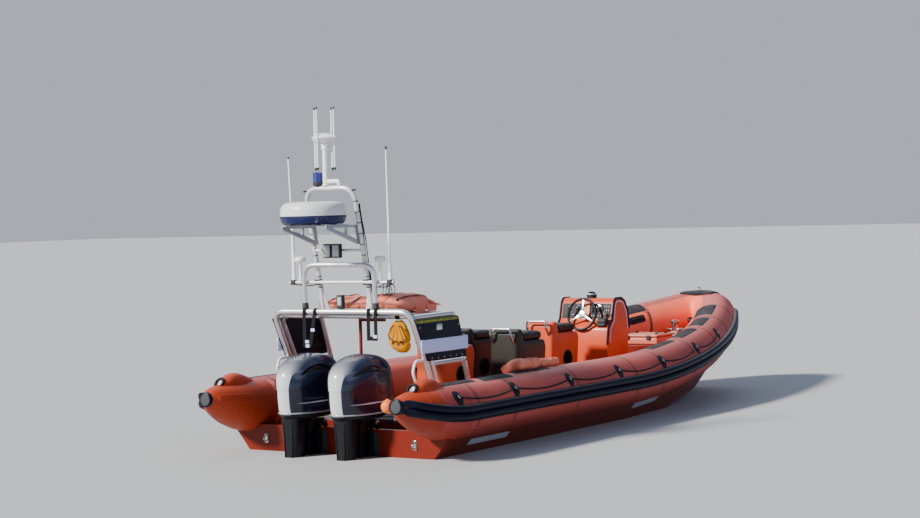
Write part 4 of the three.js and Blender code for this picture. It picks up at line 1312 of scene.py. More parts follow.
    def bow(self) -> None:
        """The soft black cap on the nose, with its lifting ring."""
        settle(from_frame("bow_cap_cover", "bow_cap"), PATCH, replaces=["bow_cap"], smooth=45)
        low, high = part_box("bow_cap")
        eye = arc((low.x + 0.1, 0, high.z + 0.012), (0.03, 0, 0), (0, 0, 0.028), 10, 0.5)
        settle(pipe("bow_ring", eye, 0.006), STAINLESS)

    def build(self) -> None:
        """Makes the whole collar."""
        for side in Side:
            self.grab_line(side)
        for side in Side:
            self.tube(side)
            self.cone(side)
            self.glued(side)
        for side in Side:
            self.rail(side)
            self.rail_butt(side)
        self.bow()


# Hull, deck and foredeck


@dataclass
class Hull:
    """The rigid hull with its rails and tapes, the deck and the foredeck with its gear."""

    stations: Rows = (
        (TRANSOM_X, -0.45, 1.01, -0.07), (-1.5, -0.45, 1.02, -0.06), (0.0, -0.45, 1.01, -0.04),
        (1.2, -0.44, 0.93, 0.02), (2.15, -0.39, 0.77, 0.13), (2.9, -0.27, 0.56, 0.28),
        (3.13, -0.185, 0.472, 0.346), (3.35, -0.09, 0.38, 0.41), (3.5, 0.03, 0.292, 0.466))
    rails: Rows = ((0.42, 3.2), (0.72, 2.9))
    rail_start: float = -3.58
    chine_length: float = 6.9
    tapes: Rows = ((-3.17, -2.5, 0.62, 0.85), (-0.06, 0.5, 0.7, 0.97))
    deck_z: float = FLOOR_Z
    foredeck_z: float = 0.6003
    bollard_x: float = 3.2

    def station(self, x: float) -> tuple[float, float, float]:
        """Keel height, chine half breadth and chine height at a place along the hull."""
        for low, high in zip(self.stations, self.stations[1:]):
            if x <= high[0]:
                t = (x - low[0]) / (high[0] - low[0])
                return tuple(a + (b - a) * t for a, b in zip(low[1:], high[1:]))
        return self.stations[-1][1:]

    def bottom(self, x: float, share: float, side: Side, proud: float = 0.0) -> Vector:
        """A point of the bottom, from the keel at 0 to the chine at 1, standing off it by a little."""
        keel, y, z = self.station(x)
        slope = Vector((0, y, z - keel)).normalized()
        spot = Vector((x, y * share, keel + (z - keel) * share)) + Vector((0, slope.z, -slope.y)) * proud
        return side.at(*spot)

    def topside(self, x: float, share: float, side: Side, proud: float) -> Vector:
        """A point of the topside, from the chine at 0 to the tube at 1, standing off it by a little."""
        _, y, z = self.station(x)
        at, _, _ = LINE.station(LINE.distance(x))
        edge_y, edge_z = at.y + 0.095, at.z - 0.238
        slope = Vector((0, edge_y - y, edge_z - z)).normalized()
        spot = Vector((x, y + (edge_y - y) * share, z + (edge_z - z) * share))
        return side.at(*(spot + Vector((0, slope.z, -slope.y)) * proud))

    def spray_rail(self, side: Side, share: float, end: float) -> Object:
        """One rail of the bottom, at a share of the way to the chine and fading out at its fore end."""
        section = [(-0.022, -0.004), (-0.02, 0.004), (0.016, 0.014), (0.022, 0.008), (0.022, -0.004)]

        def place(u: float, v: float) -> Vector:
            x = self.rail_start + (end - self.rail_start) * u
            across, proud = section[round(v * 4)]
            taper = 1 - eased(x, end - 0.6, end) * 0.9
            return self.bottom(x, share + across * taper, side, proud * taper)

        return wrapped("rail", 60, 4, place)

    def chine(self, side: Side) -> Object:
        """The rounded edge between bottom and topside."""
        def place(u: float, v: float) -> Vector:
            x = self.rail_start + self.chine_length * u
            _, y, z = self.station(x)
            turn = 2 * math.pi * v
            size = 0.014 * (1 - 0.6 * eased(x, 2.6, 3.3))
            return side.at(x, y - 0.004 + size * math.cos(turn), z + size * math.sin(turn))

        return wrapped("chine", 80, 10, place)

    def shell(self) -> None:
        """The hull's skin, and the bottom's spray rails with a rounded chine on each side."""
        settle(from_frame("hull_shell", "hull"), GELCOAT, replaces=["hull"], smooth=28)
        for side in Side:
            strips = [self.spray_rail(side, share, end) for share, end in self.rails]
            settle(joined(f"spray_rails_{side.word}", *strips, self.chine(side)), GELCOAT)

    def tape(self, side: Side, first: float, last: float, low: float, high: float) -> Object:
        """One reflecting tape on the topside, between two places and two shares of its height."""
        def place(u: float, v: float) -> Vector:
            proud = 0.0004 + 0.001 * within(u, v, 10)
            return self.topside(first + (last - first) * u, low + (high - low) * v, side, proud)

        return wrapped("tape", 30, 12, place, caps=False)

    def marks(self) -> None:
        """The reflecting tapes on the topsides, the tow eyes and the engines' mounting plates."""
        for side in Side:
            tapes = [self.tape(side, *spans) for spans in self.tapes]
            settle(joined(f"hull_tapes_{side.word}", *tapes), TAPE)
            eye = side.at(TRANSOM_X, 0.86, 0.12)
            loop = [eye + Vector((-0.045 * math.sin(a), 0, 0.026 * math.cos(a)))
                    for a in (i * math.pi / 12 for i in range(13))]
            base = block("base", eye + Vector((-0.006, -0.02, -0.045)), eye + Vector((0.0, 0.02, 0.045)),
                         0.003)
            heads = bolts("bolts", [eye + Vector((-0.006, 0, z)) for z in (-0.036, 0.036)], (-1, 0, 0), 0.005)
            settle(joined(f"tow_eye_{side.word}", base, pipe("loop", loop, 0.0065), heads), STAINLESS)
            y = ENGINE_Y * side.value
            low, high = (TRANSOM_X - 0.007, y - 0.17, -0.2), (TRANSOM_X, y + 0.17, 0.22)
            settle(block(f"engine_pad_{side.word}", low, high, 0.003), BLACK)
        rim = [(0, 0), (0.032, 0), (0.032, 0.006), (0.024, 0.009), (0.02, 0.004), (0, 0.004)]
        drains = [turned("drain", rim, (TRANSOM_X, y, -0.12), (-1, 0, 0), 28) for y in (-0.62, 0.62)]
        settle(joined("drain_sockets", *drains), BLACK)

    def deck(self) -> None:
        """The deck with its non-slip panels, and round hatches with their rims."""
        dress("deck", DECK_PAINT)
        spans = [(-3.0, -2.66, -0.62, 0.62), (-1.42, -1.24, -0.5, 0.5), (-0.5, -0.14, -0.66, 0.66),
                 (1.5, 2.08, -0.5, 0.5)]
        spans += [(x0, x1, 0.55 * s, 0.78 * s) for s in (1, -1) for x0,
                  x1 in ((-2.6, -1.5), (-1.45, -0.55), (-0.5, 0.85))]
        low, high = self.deck_z - CLEARANCE, self.deck_z + 0.003
        pads = [block("panel", (x0, y0, low), (x1, y1, high), 0.0012) for x0, x1, y0, y1 in spans]
        settle(joined("deck_panels", *pads), DECK)
        rim = [(0, 0), (0.1, 0), (0.1, 0.004), (0.094, 0.007), (0.085, 0.007), (0.082, 0.0035),
               (0.012, 0.0035), (0.01, 0.006), (0, 0.006)]
        hatches = [turned("hatch", rim, (x, 0.0, self.deck_z + 0.0028)) for x in (-2.82, -0.3, 1.8)]
        settle(joined("deck_hatches", *hatches), BLACK)

    def foredeck(self) -> None:
        """The foredeck, its box with lid and latches, and the bollard with a turn of rope."""
        settle(from_frame("foredeck_moulding", "foredeck", 0.004), GELCOAT, replaces=["foredeck"], smooth=28)
        z = self.foredeck_z
        body = block("box", (2.262, -0.252, z), (2.698, 0.252, z + 0.088), 0.022)
        lid = block("lid", (2.252, -0.258, z + 0.09), (2.708, 0.258, z + 0.119), 0.012)
        settle(joined("bow_box_case", body, lid), BOX, replaces=["bow_box"], smooth=40)
        fittings = [block("latch", (2.243, y - 0.025, z + 0.06), (2.253, y + 0.025, z + 0.112), 0.004)
                    for y in (-0.14, 0.14)]
        fittings += [block("hinge", (2.705, y - 0.03, z + 0.07), (2.716, y + 0.03, z + 0.112), 0.003)
                     for y in (-0.16, 0.16)]
        settle(joined("bow_box_fittings", *fittings), BLACK)
        over_lid = ((2.36, 0.116), (2.37, 0.134), (2.59, 0.134), (2.6, 0.116))
        for side in reversed(Side):
            path = bent_path([side.at(x, 0.19, z + rise) for x, rise in over_lid], 0.008)
            settle(ribbon(f"bow_box_strap_{side.word}", path, 0.038, 0.003, (0, 1, 0)), WEBBING)
        profile = [(0, 0), (0.088, 0), (0.094, 0.004), (0.094, 0.01), (0.088, 0.014), (0.056, 0.018),
                   (0.044, 0.03), (0.039, 0.06), (0.038, 0.15), (0.04, 0.185), (0.05, 0.203), (0.059, 0.21),
                   (0.06, 0.224), (0.054, 0.233), (0.04, 0.236), (0, 0.236)]
        x = self.bollard_x
        post = turned("post", profile, (x, 0, z), sides=48)
        bar = [(x, y, z + 0.12) for y in (-0.115, -0.108, 0.108, 0.115)]
        horn = pipe("horn", bar, 0.016, taper=(0.7, 1, 1, 0.7), ring=6)
        feet = arc((x, 0, z + 0.013), (0.072, 0, 0), (0, 0.072, 0), 6)[:-1]
        settle(joined("bow_bollard_post", post, horn, bolts("bolts", feet, (0, 0, 1), 0.007)), STAINLESS,
               replaces=["bow_bollard"])
        turns, steps = 4, 24
        coil = arc((x, 0, z + 0.045), (0.046, 0, 0), (0, 0.046, 0), steps * turns, turns)
        rope = [at + Vector((0, 0, 0.0135 * i / steps)) for i, at in enumerate(coil)]
        settle(pipe("bollard_rope", rope, 0.0065, ring=3), ROPE_PALE)

    def build(self) -> None:
        """Makes hull, deck and foredeck."""
        self.shell()
        self.marks()
        self.deck()
        self.foredeck()


# Helm


@dataclass
class Helm:
    """The console with its instruments, throttle, compass and wheel."""

    outline: Rows = ((0.96, FLOOR_Z), (0.93, 0.7006), (0.96, 0.8806), (1.05, 0.9706), (1.1, 1.1606),
                     (1.14, 1.2056), (1.27, 1.2056), (1.34, 1.1706), (1.41, 1.0606), (1.44, 0.8606),
                     (1.4, 0.5806), (1.33, FLOOR_Z))
    line: Rows = (
        (0.99, 0.72), (1.01, 0.87), (1.09, 0.955), (1.135, 1.14), (1.16, 1.168), (1.26, 1.168), (1.315, 1.14),
        (1.375, 1.045), (1.4, 0.86))
    gauges: Rows = ((0.115, 0.036, 0.038), (0.22, 0.036, 0.038), (0.1, -0.05, 0.025), (0.165, -0.05, 0.025),
                    (0.23, -0.05, 0.025))
    half: float = 0.34
    wheel_at: Point = (1.06, 0.0, 1.01)
    wheel_radius: float = 0.175
    standoff: float = 0.095

    @property
    def face_up(self) -> Vector:
        """The way up the dash."""
        return Vector((0.05, 0, 0.19)).normalized()

    @property
    def face_out(self) -> Vector:
        """The way out of the dash, aft and a little up."""
        return Vector((-self.face_up.z, 0, self.face_up.x))

    def on_dash(self, y: float, rise: float, proud: float = 0.0) -> Vector:
        """A point on the dash, from its middle."""
        return Vector((1.075, y, 1.0656)) + self.face_up * rise + self.face_out * proud

    def dash_plate(self, name: str, y0: float, y1: float, low: float, high: float, proud: float,
                   edge: float) -> Object:
        """A plate on the dash between two breadths and two heights."""
        corners = [self.on_dash(y, rise, -0.001) for y,
                   rise in ((y0, low), (y1, low), (y1, high), (y0, high))]
        return slab(name, corners, self.face_out * (proud + 0.001), edge)

    def case(self) -> None:
        """The moulded console, its rubber edge, its inset lines and its door with latch."""
        settle(upright("console_case", self.outline, -self.half, self.half, 0.022, 5), CONSOLE,
               replaces=["console"], smooth=40)
        for side in Side:
            edge = [side.at(x, self.half - 0.004, z) for x, z in self.outline[1:10]]
            settle(pipe(f"console_edge_{side.word}", [edge[0], *bent_path(edge, 0.03)[1:]], 0.013), RUBBER)
            inner = [side.at(x, self.half + 0.0012, z) for x, z in self.line]
            settle(ribbon(f"console_line_{side.word}", bent_path(inner, 0.03, 5), 0.002, 0.012, (0, 1, 0)),
                   SKY_SHADED_WHITE)
        door = slab("console_door", [(1.43, -0.2, 0.82), (1.43, 0.2, 0.82), (1.392, 0.2, 0.52),
                                     (1.392, -0.2, 0.52)], (0.012, 0, 0), 0.008)
        settle(door, CONSOLE)
        settle(block("console_door_latch", (1.425, -0.03, 0.66), (1.436, 0.03, 0.7), 0.004), BLACK)

    def gauge(self, y: float, rise: float, size: float) -> tuple[Object, Object, Object]:
        """One round gauge: its rim, its face, and its marks with the needle."""
        at, out, across = self.on_dash(y, rise, 0.005), self.face_out, Vector((0, 1, 0))
        rows = ((0.86, 0), (1, 0), (1, 0.006), (0.93, 0.009), (0.86, 0.006), (0.86, 0))
        rim = turned("rim", [(size * share, up) for share, up in rows], at, out, 36)
        dish = [(0, 0.001), (size * 0.88, 0.001), (size * 0.88, 0.003), (0, 0.0035)]
        face = turned("face", dish, at, out, 36)
        marks = []
        for step in range(-4, 5):
            turn = math.radians(30 * step)
            way = self.face_up * math.cos(turn) + across * math.sin(turn)
            flank = way.cross(out) * 0.0008
            inner, outer = (at + out * 0.003 + way * size * share for share in (0.68, 0.8))
            marks.append(slab("tick", [inner - flank, inner + flank, outer + flank, outer - flank],
                              out * 0.001))
        way = self.face_up * 0.5 + across * 0.86
        flank = way.cross(out) * 0.0015
        marks.append(slab("needle", [at + out * 0.0035 + p for p in (flank, -flank, way * size * 0.72)],
                          out * 0.001))
        return rim, face, joined("marks", *marks)

    def dials(self) -> None:
        """Two dash panels: round gauges to port, and switches and a screen to starboard."""
        panels = [self.dash_plate("panel", y, y + 0.26, -0.085, 0.086, 0.006, 0.004) for y in (0.05, -0.31)]
        settle(joined("dash_panels", *panels), BLACK)
        rims, faces, marks = zip(*(self.gauge(*place) for place in self.gauges))
        settle(joined("gauge_rims", *rims), STAINLESS)
        settle(joined("gauge_faces", *faces), SCREEN)
        settle(joined("gauge_marks", *marks), SKY_SHADED_WHITE)
        settle(self.dash_plate("dash_screen", -0.205, -0.07, -0.03, 0.078, 0.012, 0.006), BLACK)
        settle(self.dash_plate("dash_screen_glass", -0.197, -0.078, -0.02, 0.07, 0.0135, 0.001), SCREEN)
        places = [(-0.235 - 0.027 * i, 0.045 - 0.042 * j, 0.014, 0.013) for i in range(3) for j in range(3)]
        places += [(-0.075 - 0.028 * i, -0.059, 0.013, 0.011) for i in range(5)]
        switches = [self.dash_plate("switch", y - 0.009, y + 0.009, rise - half, rise + half, proud, 0.003)
                    for y, rise, half, proud in places]
        settle(joined("dash_switches", *switches), SWITCH)

    def throttle(self) -> None:
        """The twin engine control on the shelf, starboard of the wheel."""
        base = slab("base", [(0.965, -0.3, 0.888), (0.965, -0.2, 0.888), (1.045, -0.2, 0.968),
                             (1.045, -0.3, 0.968)], (-0.028, 0, 0.028), 0.008)
        hub = turned("hub", [(0, -0.052), (0.03, -0.052), (0.036, -0.044), (0.036, 0.044), (0.03, 0.052),
                             (0, 0.052)], (0.985, -0.25, 0.956), (0, 1, 0), 30)
        settle(joined("throttle_box", base, hub), BLACK)
        knob = [(0, 0), (0.011, 0.002), (0.017, 0.014), (0.018, 0.034), (0.014, 0.046), (0, 0.05)]
        for side in Side:
            y = -0.25 + 0.026 * side.value
            settle(turned(f"throttle_knob_{side.word}", knob, (0.958, y, 1.066), sides=24), BLACK)
            arm = bent_path([(0.985, y, 0.96), (0.962, y, 1.05), (0.958, y, 1.085)], 0.02)
            settle(pipe(f"throttle_arm_{side.word}", arm, 0.006), STAINLESS)

    def compass(self) -> None:
        """The compass on the console's top: a black housing with a clear dome and a white card."""
        at = (1.2, 0, 1.2062)
        housing = [(0, 0), (0.054, 0), (0.057, 0.003), (0.0575, 0.01), (0.052, 0.016), (0.0605, 0.024),
                   (0.062, 0.03), (0.058, 0.0365), (0.05, 0.039), (0.046, 0.036), (0, 0.036)]
        angles = (i * math.pi / 20 for i in range(1, 10))
        bulge = [(0.047 * math.cos(a), 0.037 + 0.042 * math.sin(a)) for a in angles]
        dome = [(0, 0.036), (0.047, 0.036), *bulge, (0, 0.079)]
        settle(turned("compass_housing", housing, at), BLACK, replaces=["compass"])
        settle(turned("compass_dome", dome, at), SCREEN)
        card = [(0.0478, 0.041), (0.0482, 0.043), (0.0482, 0.047), (0.0476, 0.049), (0.047, 0.045),
                (0.0478, 0.041)]
        settle(turned("compass_ring", card, at), SKY_SHADED_WHITE)

    def wheel(self) -> None:
        """The wheel: a padded rim, three spokes, a hub and the shaft."""
        at, out, up = Vector(self.wheel_at), self.face_out, self.face_up
        across = Vector((0, 1, 0))
        centre = at + out * self.standoff

        def rim(u: float, v: float) -> Vector:
            a, b = 2 * math.pi * u, 2 * math.pi * v
            grip = 0.0145 - 0.0012 * (0.5 + 0.5 * math.cos(a * 36)) * (1 if math.cos(b) < 0.2 else 0)
            reach = self.wheel_radius + grip * math.cos(b)
            return centre + (up * math.cos(a) + across * math.sin(a)) * reach + out * grip * math.sin(b)

        settle(wrapped("wheel_rim", 144, 16, rim), RUBBER, body="helm", replaces=["helm_wheel"], smooth=60)
        spokes = []
        half = ((0.03, 0.02), (0.09, 0.011), (0.165, 0.014))
        for way in arc((0, 0, 0), up, -across, 3)[:-1]:
            flank = way.cross(out)
            corners = [centre + way * r + flank * w - out * 0.004 for r,
                       w in (*half, *((r, -w) for r, w in half[::-1]))]
            spokes.append(slab("spoke", corners, out * 0.008, 0.003))
        hub = turned("hub", [(0, -0.02), (0.036, -0.02), (0.042, -0.012), (0.042, 0.004), (0.036, 0.01),
                             (0.012, 0.0125), (0, 0.0125)], centre, out, 36)
        shaft = turned("shaft", [(0, -0.093), (0.024, -0.093), (0.024, -0.03), (0.02, -0.016), (0, -0.016)],
                       centre, out, 28)
        settle(joined("wheel_spokes", *spokes, hub, shaft), STAINLESS, body="helm")

    def build(self) -> None:
        """Makes the console and all that is on it."""
        self.case()
        self.dials()
        self.throttle()
        self.compass()
        self.wheel()


# Seats


@dataclass
class Seats:
    """Four astride seats: moulded pods with a black cushion, a bolster and a grab hoop."""

    places: tuple[tuple[str, float, float], ...] = (
        ("helm_seat", 0.02, 0.0), ("port_crew_seat", -1.18, 0.3), ("starboard_crew_seat", -1.18, -0.3),
        ("aft_seat", -2.08, 0.0))
    outline: Rows = ((0.04, 0.0), (0.0, 0.3), (0.02, 0.7), (0.13, 0.74), (0.17, 0.6), (0.57, 0.6),
                     (0.6, 0.52), (0.56, 0.25), (0.52, 0.0))
    foot: float = FLOOR_Z
    half: float = 0.165
    cushion: tuple[float, float, float] = (0.39, 0.32, 0.09)
    cushion_z: float = 0.8809

    def pod(self, name: str, x: float, y: float, finish: Finish) -> None:
        """The moulded pod, with a base flange and, on each side, a round locker opening drawn as a flat disc
        of painted shade.
        """
        outline = [(x + a, self.foot + b) for a, b in self.outline]
        shell = upright("shell", outline, y - self.half, y + self.half, 0.034, 6)
        flange = block("flange", (x + 0.03, y - self.half, self.foot),
                       (x + 0.54, y + self.half, self.foot + 0.012), 0.004)
        settle(joined(f"{name}_shell", shell, flange), finish, replaces=[f"{name}_pod"], smooth=50)
        # The locker openings are flat discs of painted shade.
        port = [(0, 0.0), (0.084, 0.0), (0.084, 0.002), (0.03, 0.0026), (0, 0.0026)]
        rim = [(0.082, 0), (0.1, 0), (0.1, 0.004), (0.096, 0.0065), (0.086, 0.0065), (0.082, 0.003),
               (0.082, 0)]
        for word, profile, look in (("lockers", port, OPENING_SHADE), ("locker_rims", rim, BLACK)):
            pair = [turned(word, profile, (x + 0.33, y + s * (self.half - 0.001), self.foot + 0.31),
                           (0, s, 0)) for s in (1, -1)]
            settle(joined(f"{name}_{word}", *pair), look)

    def hoop(self, name: str, x: float, y: float) -> None:
        """The stainless hoop behind the seat's back."""
        z = self.foot + 0.69
        half = [(x + 0.05, y - 0.12, z - 0.15), (x - 0.04, y - 0.12, z - 0.02),
                (x - 0.035, y - 0.12, z + 0.045)]
        path = [*half, *((a, b + 0.24, c) for a, b, c in half[::-1])]
        settle(pipe(f"{name}_hoop", bent_path(path, 0.03, 6), 0.0125), STAINLESS)

    def first_cushion(self) -> Object:
        """One cushion about the origin, swollen, with its sewn channels."""
        length, width, height = self.cushion
        a, b = length / 2, width / 2
        pad = block("cushion", (-a + 0.012, -b + 0.014, 0.004), (a - 0.012, b - 0.014, height - 0.012), 0.026)
        kept_in(stuffed(pad, 0.0062, 0.012), (-a, -b, 0), (a, b, height))

        def gap(at: Vector) -> float:
            if at.z < 0.03:
                return 1.0
            cross = min(abs(at.x - s) for s in (-0.085, 0.0, 0.085)) if abs(at.y) < 0.108 else 1.0
            return min(cross, abs(abs(at.y) - 0.11))

        return sewn(pad, 0.006, 0.006, gap)

    def piping(self, name: str, pad: Object, offset: Vector) -> None:
        """The welt round a cushion's top edge."""
        length, width, height = self.cushion
        middle = offset + Vector((0, 0, height * 0.72))
        path = []
        for i in range(97):
            a, b = oval(-length / 2, length / 2, width / 2, 2 * math.pi * (i + 0.5) / 96, 7)
            path.append(snug(pad, middle + Vector((a, b, 0))))
        settle(pipe(name, path, 0.0034, ring=2), VINYL)

    def build(self) -> None:
        """Makes the four seats."""
        pattern = self.first_cushion()
        for name, x, y in self.places:
            self.pod(name, x, y, SEAT_GREY if "crew" in name else CONSOLE)
            self.hoop(name, x, y)
            offset = Vector((x + 0.372, y, self.cushion_z))
            pad = copied(pattern, f"{name}_pad", offset)
            settle(pad, VINYL, replaces=[f"{name}_cushion"], smooth=60)
            self.piping(f"{name}_piping", pad, offset)
            low = (x + 0.136, y - 0.13, self.cushion_z + 0.045)
            back = block(f"{name}_back_pad", low, (x + 0.16, y + 0.13, self.cushion_z + 0.125), 0.01)
            settle(back, VINYL)
        bpy.data.objects.remove(pattern)


# Frame over the stern


@dataclass
class RollBar:
    """The alloy frame over the stern with its straps, panels, boards, stay post and the small stern frame."""

    half: float = 0.79
    top_x: float = -3.52
    top_z: float = 1.325
    foot_x: float = -3.02
    foot_z: float = FLOOR_Z
    fore_x: float = -2.8
    fore_z: float = 1.277
    rail: Rows = ((-3.26, 0.83), (-2.65, 0.83))
    handle: Rows = ((-3.31, 0.875), (-3.46, 0.872), (-3.5, 0.77), (-3.44, 0.655), (-3.2, 0.64))
    bend: float = 0.12
    radius: float = 0.03
    straps: tuple[tuple[tuple[float, float], ...], ...] = (
        ((0.402, 1.3), (0.402, 0.99)), ((0.28, 1.3), (0.34, 0.995)),
        ((-0.343, 1.3), (-0.343, 1.082), (-0.426, 1.082), (-0.426, 1.3)))
    pads: Rows = ((0.302, 1.154), (0.371, 1.043), (0.366, 1.003), (-0.42, 1.1))

    @property
    def on_top(self) -> float:
        """The height of what stands on the hoop."""
        return self.top_z + self.radius + CLEARANCE

    def tubes(self) -> None:
        """The two hoops, the side frames, the fore bar, the bars between and the feet."""
        leg, w = self.foot_z + 0.015, self.half
        parts = []
        for dx, dz, radius in ((0.0, 0.0, self.radius), (0.1, -0.045, self.radius - 0.006)):
            foot, top = (self.foot_x + dx, leg), (self.top_x + dx, self.top_z + dz)
            corners = [(x, y, z) for (x, z), y in ((foot, -w), (top, -w), (top, w), (foot, w))]
            parts.append(pipe("hoop", corners, radius, self.bend, ring=6))
        for side in Side:
            corners = [side.at(-3.465, w, self.fore_z - 0.006), side.at(self.fore_x, w, self.fore_z),
                       side.at(-2.47, w, leg)]
            parts.append(pipe("side", corners, self.radius - 0.004, self.bend, ring=6))
            parts.append(pipe("rail", [side.at(x, w, z) for x, z in self.rail], 0.022))
            parts.append(pipe("bar", [side.at(-3.5, 0.28, 1.285), side.at(self.fore_x, 0.28, 1.285)], 0.02))
        parts.append(pipe("fore_bar", [(-2.81, -w, 1.273), (-2.81, w, 1.273)], 0.024))
        settle(joined("roll_bar_tubes", *parts), ALLOY, replaces=["roll_bar"], smooth=50)
        feet, heads = [], []
        flange = [(0, 0), (0.057, 0), (0.06, 0.002), (0.06, 0.0075), (0.057, 0.01), (0.037, 0.01),
                  (0.034, 0.014), (0.033, 0.03), (0, 0.03)]
        for x in (-2.97, -2.47):
            for s in (1, -1):
                at = Vector((x, 0.775 * s, self.foot_z))
                feet.append(turned("foot", flange, at))
                reach = 0.047 / math.sqrt(2)
                heads += arc(at + Vector((0, 0, 0.0098)), (reach, reach, 0), (-reach, reach, 0), 4)[:-1]
        settle(joined("roll_bar_feet", *feet, bolts("bolts", heads, (0, 0, 1), 0.006)), ALLOY)
        collar = [(0, -0.012), (0.0225, -0.012), (0.0265, -0.008), (0.0273, 0), (0.0265, 0.008),
                  (0.0225, 0.012), (0, 0.012)]
        collars = [turned("collar", collar, side.at(x, w, z), (1, 0, 0), 28) for side in Side for x,
                   z in self.rail]
        settle(joined("roll_bar_collars", *collars), BLACK)
        for side in Side:
            path = [side.at(x, w, z) for x, z in self.handle]
            settle(pipe(f"roll_bar_handle_{side.word}", path, 0.013, 0.075), WHITE)

    def webbing(self) -> None:
        """The flat black grab straps that hang from the hoop, with their pale pads."""
        x, top, half = self.top_x - 0.032, self.top_z, 0.02
        for i, line in enumerate(self.straps):
            left, right = [], []
            for k, (y, z) in enumerate(line):
                pairs = zip(line[max(k - 1, 0):k + 1], line[max(k, 1):k + 2])
                ways = [Vector((0, b[0] - a[0], b[1] - a[1])).normalized() for a, b in pairs]
                flank = Vector((0, -sum(w.z for w in ways), sum(w.y for w in ways)))
                flank *= half / flank.length / math.cos(ways[0].angle(ways[-1]) / 2)
                left.append(Vector((x, y, z)) + flank)
                right.append(Vector((x, y, z)) - flank)
            settle(slab(f"grab_strap_{i}", [*left, *reversed(right)], (-0.003, 0, 0), 0.0008, 1), WEBBING)
            for k, y in enumerate(sorted({y for y, z in line if z > 1.2})):
                wrap = arc((self.top_x, y, top), (0.0325, 0, 0), (0, 0, 0.0325), 24)
                settle(ribbon(f"grab_strap_{i}_wrap_{k}", wrap, 2 * half, 0.003, (0, 1, 0)), WEBBING)
        pads = [block("pad", (x - 0.01, y - 0.022, z - 0.015), (x - 0.001, y + 0.022, z + 0.015), 0.004)
                for y, z in self.pads]
        settle(joined("grab_strap_pads", *pads), SKY_SHADED_WHITE)

    def panels(self) -> None:
        """On each side, a dark panel with corded edge, eyelets, lime strip and clip, and a white board."""
        corners = ((-3.5, 1.256), (-2.79, 1.256), (-2.66, 0.862), (-3.31, 0.862))
        strip = [(-3.482, 1.216), (-2.78, 1.222), (-2.793, 1.2545), (-3.499, 1.2545)]
        inset = [(-3.482, 1.247), (-2.795, 1.247), (-2.672, 0.871), (-3.303, 0.871), (-3.482, 1.247)]
        board = [(-3.42, 0.938), (-2.65, 0.938), (-2.65, 1.062), (-3.42, 1.062)]
        ring = [(0.0045, 0), (0.009, 0), (0.009, 0.0015), (0.007, 0.003), (0.0045, 0.002), (0.0045, 0)]
        middle = Vector((-3.07, 1.06))
        holes = []
        for k, count in ((0, 6), (2, 6), (1, 3), (3, 3)):
            for i in range(count):
                spot = Vector(inset[k]).lerp(Vector(inset[k + 1]), (i + 0.5) / count)
                holes.append(spot + (middle - spot) * Vector((0.045, 0.07)))
        for side in Side:
            s, word = side.value, side.word
            outer = 0.8343 * s
            sheet = upright(f"side_panel_sheet_{word}", corners, 0.8203 * s, outer, 0.004)
            settle(sheet, PANEL, replaces=[f"{word}_side_panel"])
            lime = upright(f"side_panel_strip_{word}", strip, outer - 0.0005 * s, outer + 0.002 * s, 0.0008,
                           1)
            settle(lime, LIME)
            settle(pipe(f"side_panel_hem_{word}", [(x, outer, z) for x, z in inset], 0.0045, ring=2), RUBBER)
            eyes = [turned("eye", ring, (x, outer, z), (0, s, 0), 20) for x, z in holes]
            settle(joined(f"side_panel_eyelets_{word}", *eyes), STAINLESS)
            clip = block(f"side_panel_clip_{word}", (-3.16, outer, 1.14), (-3.07, outer + 0.004 * s, 1.2),
                         0.0015)
            settle(clip, STAINLESS)
            # The board's white finish carries a painted bluish shade.
            plate = upright(f"side_board_{word}", board, 0.8346 * s, 0.8446 * s, 0.003)
            settle(plate, SKY_SHADED_WHITE, replaces=[f"{word}_name_board"])

    def stay(self) -> None:
        """The post from deck to fore bar with its cross handle, its red a painted reflection of the orange
        tubes.
        """
        at, top = Vector((-2.81, 0.295, self.foot_z)), 1.2487
        plate = [(0, 0), (0.04, 0), (0.042, 0.002), (0.042, 0.006), (0.04, 0.008), (0.022, 0.008),
                 (0.0185, 0.014), (0.0175, 0.03), (0, 0.03)]
        post = pipe("post", [at, (at.x, at.y, top)], 0.017, ring=6)
        path = [(at.x, y, 1.203) for y in (at.y, 0.02, 0.003, -0.008)]
        bar = pipe("bar", path, 0.014, taper=(1, 1, 0.95, 0.6), ring=6)
        settle(joined("stay_post_tubes", turned("foot", plate, at), post, bar), REFLECTION_RED, replaces=["stay_post"],
               smooth=50)

    def stern_frame(self) -> None:
        """The small alloy arch aft, with its black foot clamps."""
        x, base, half, top = self.top_x, self.on_top, 0.408, 1.765
        corners = [(x, -half, base + 0.001), (x - 0.015, -half, top), (x - 0.015, half, top),
                   (x, half, base + 0.001)]
        arch = pipe("stern_frame_arch", corners, 0.024, 0.13, ring=6)
        settle(arch, ALLOY, replaces=["stern_frame"], smooth=50)
        cup = [(0, 0), (0.031, 0), (0.034, 0.002), (0.034, 0.012), (0.031, 0.018), (0.029, 0.05),
               (0.0255, 0.054), (0, 0.054)]
        settle(joined("stern_frame_clamps", *(turned("clamp", cup, (x, s * half, base)) for s in (1, -1))),
               BLACK)

    def light(self) -> None:
        """The stern light: a clear lens in a black guard on the hoop."""
        x, y, base, height = self.top_x, -0.008, self.on_top, 0.128
        case = block("stern_light_case", (x - 0.025, y - 0.035, base), (x + 0.02, y + 0.035, base + height),
                     0.006)
        settle(case, BLACK, replaces=["stern_light"])
        lens = block("stern_light_lens", (x - 0.0265, y - 0.022, base + 0.03),
                     (x - 0.02, y + 0.022, base + height - 0.02), 0.003)
        settle(lens, LENS)

    def build(self) -> None:
        """Makes the frame and all that hangs on it."""
        self.tubes()
        self.webbing()
        self.panels()
        self.stay()
        self.stern_frame()
        self.light()


# Mast and aerials


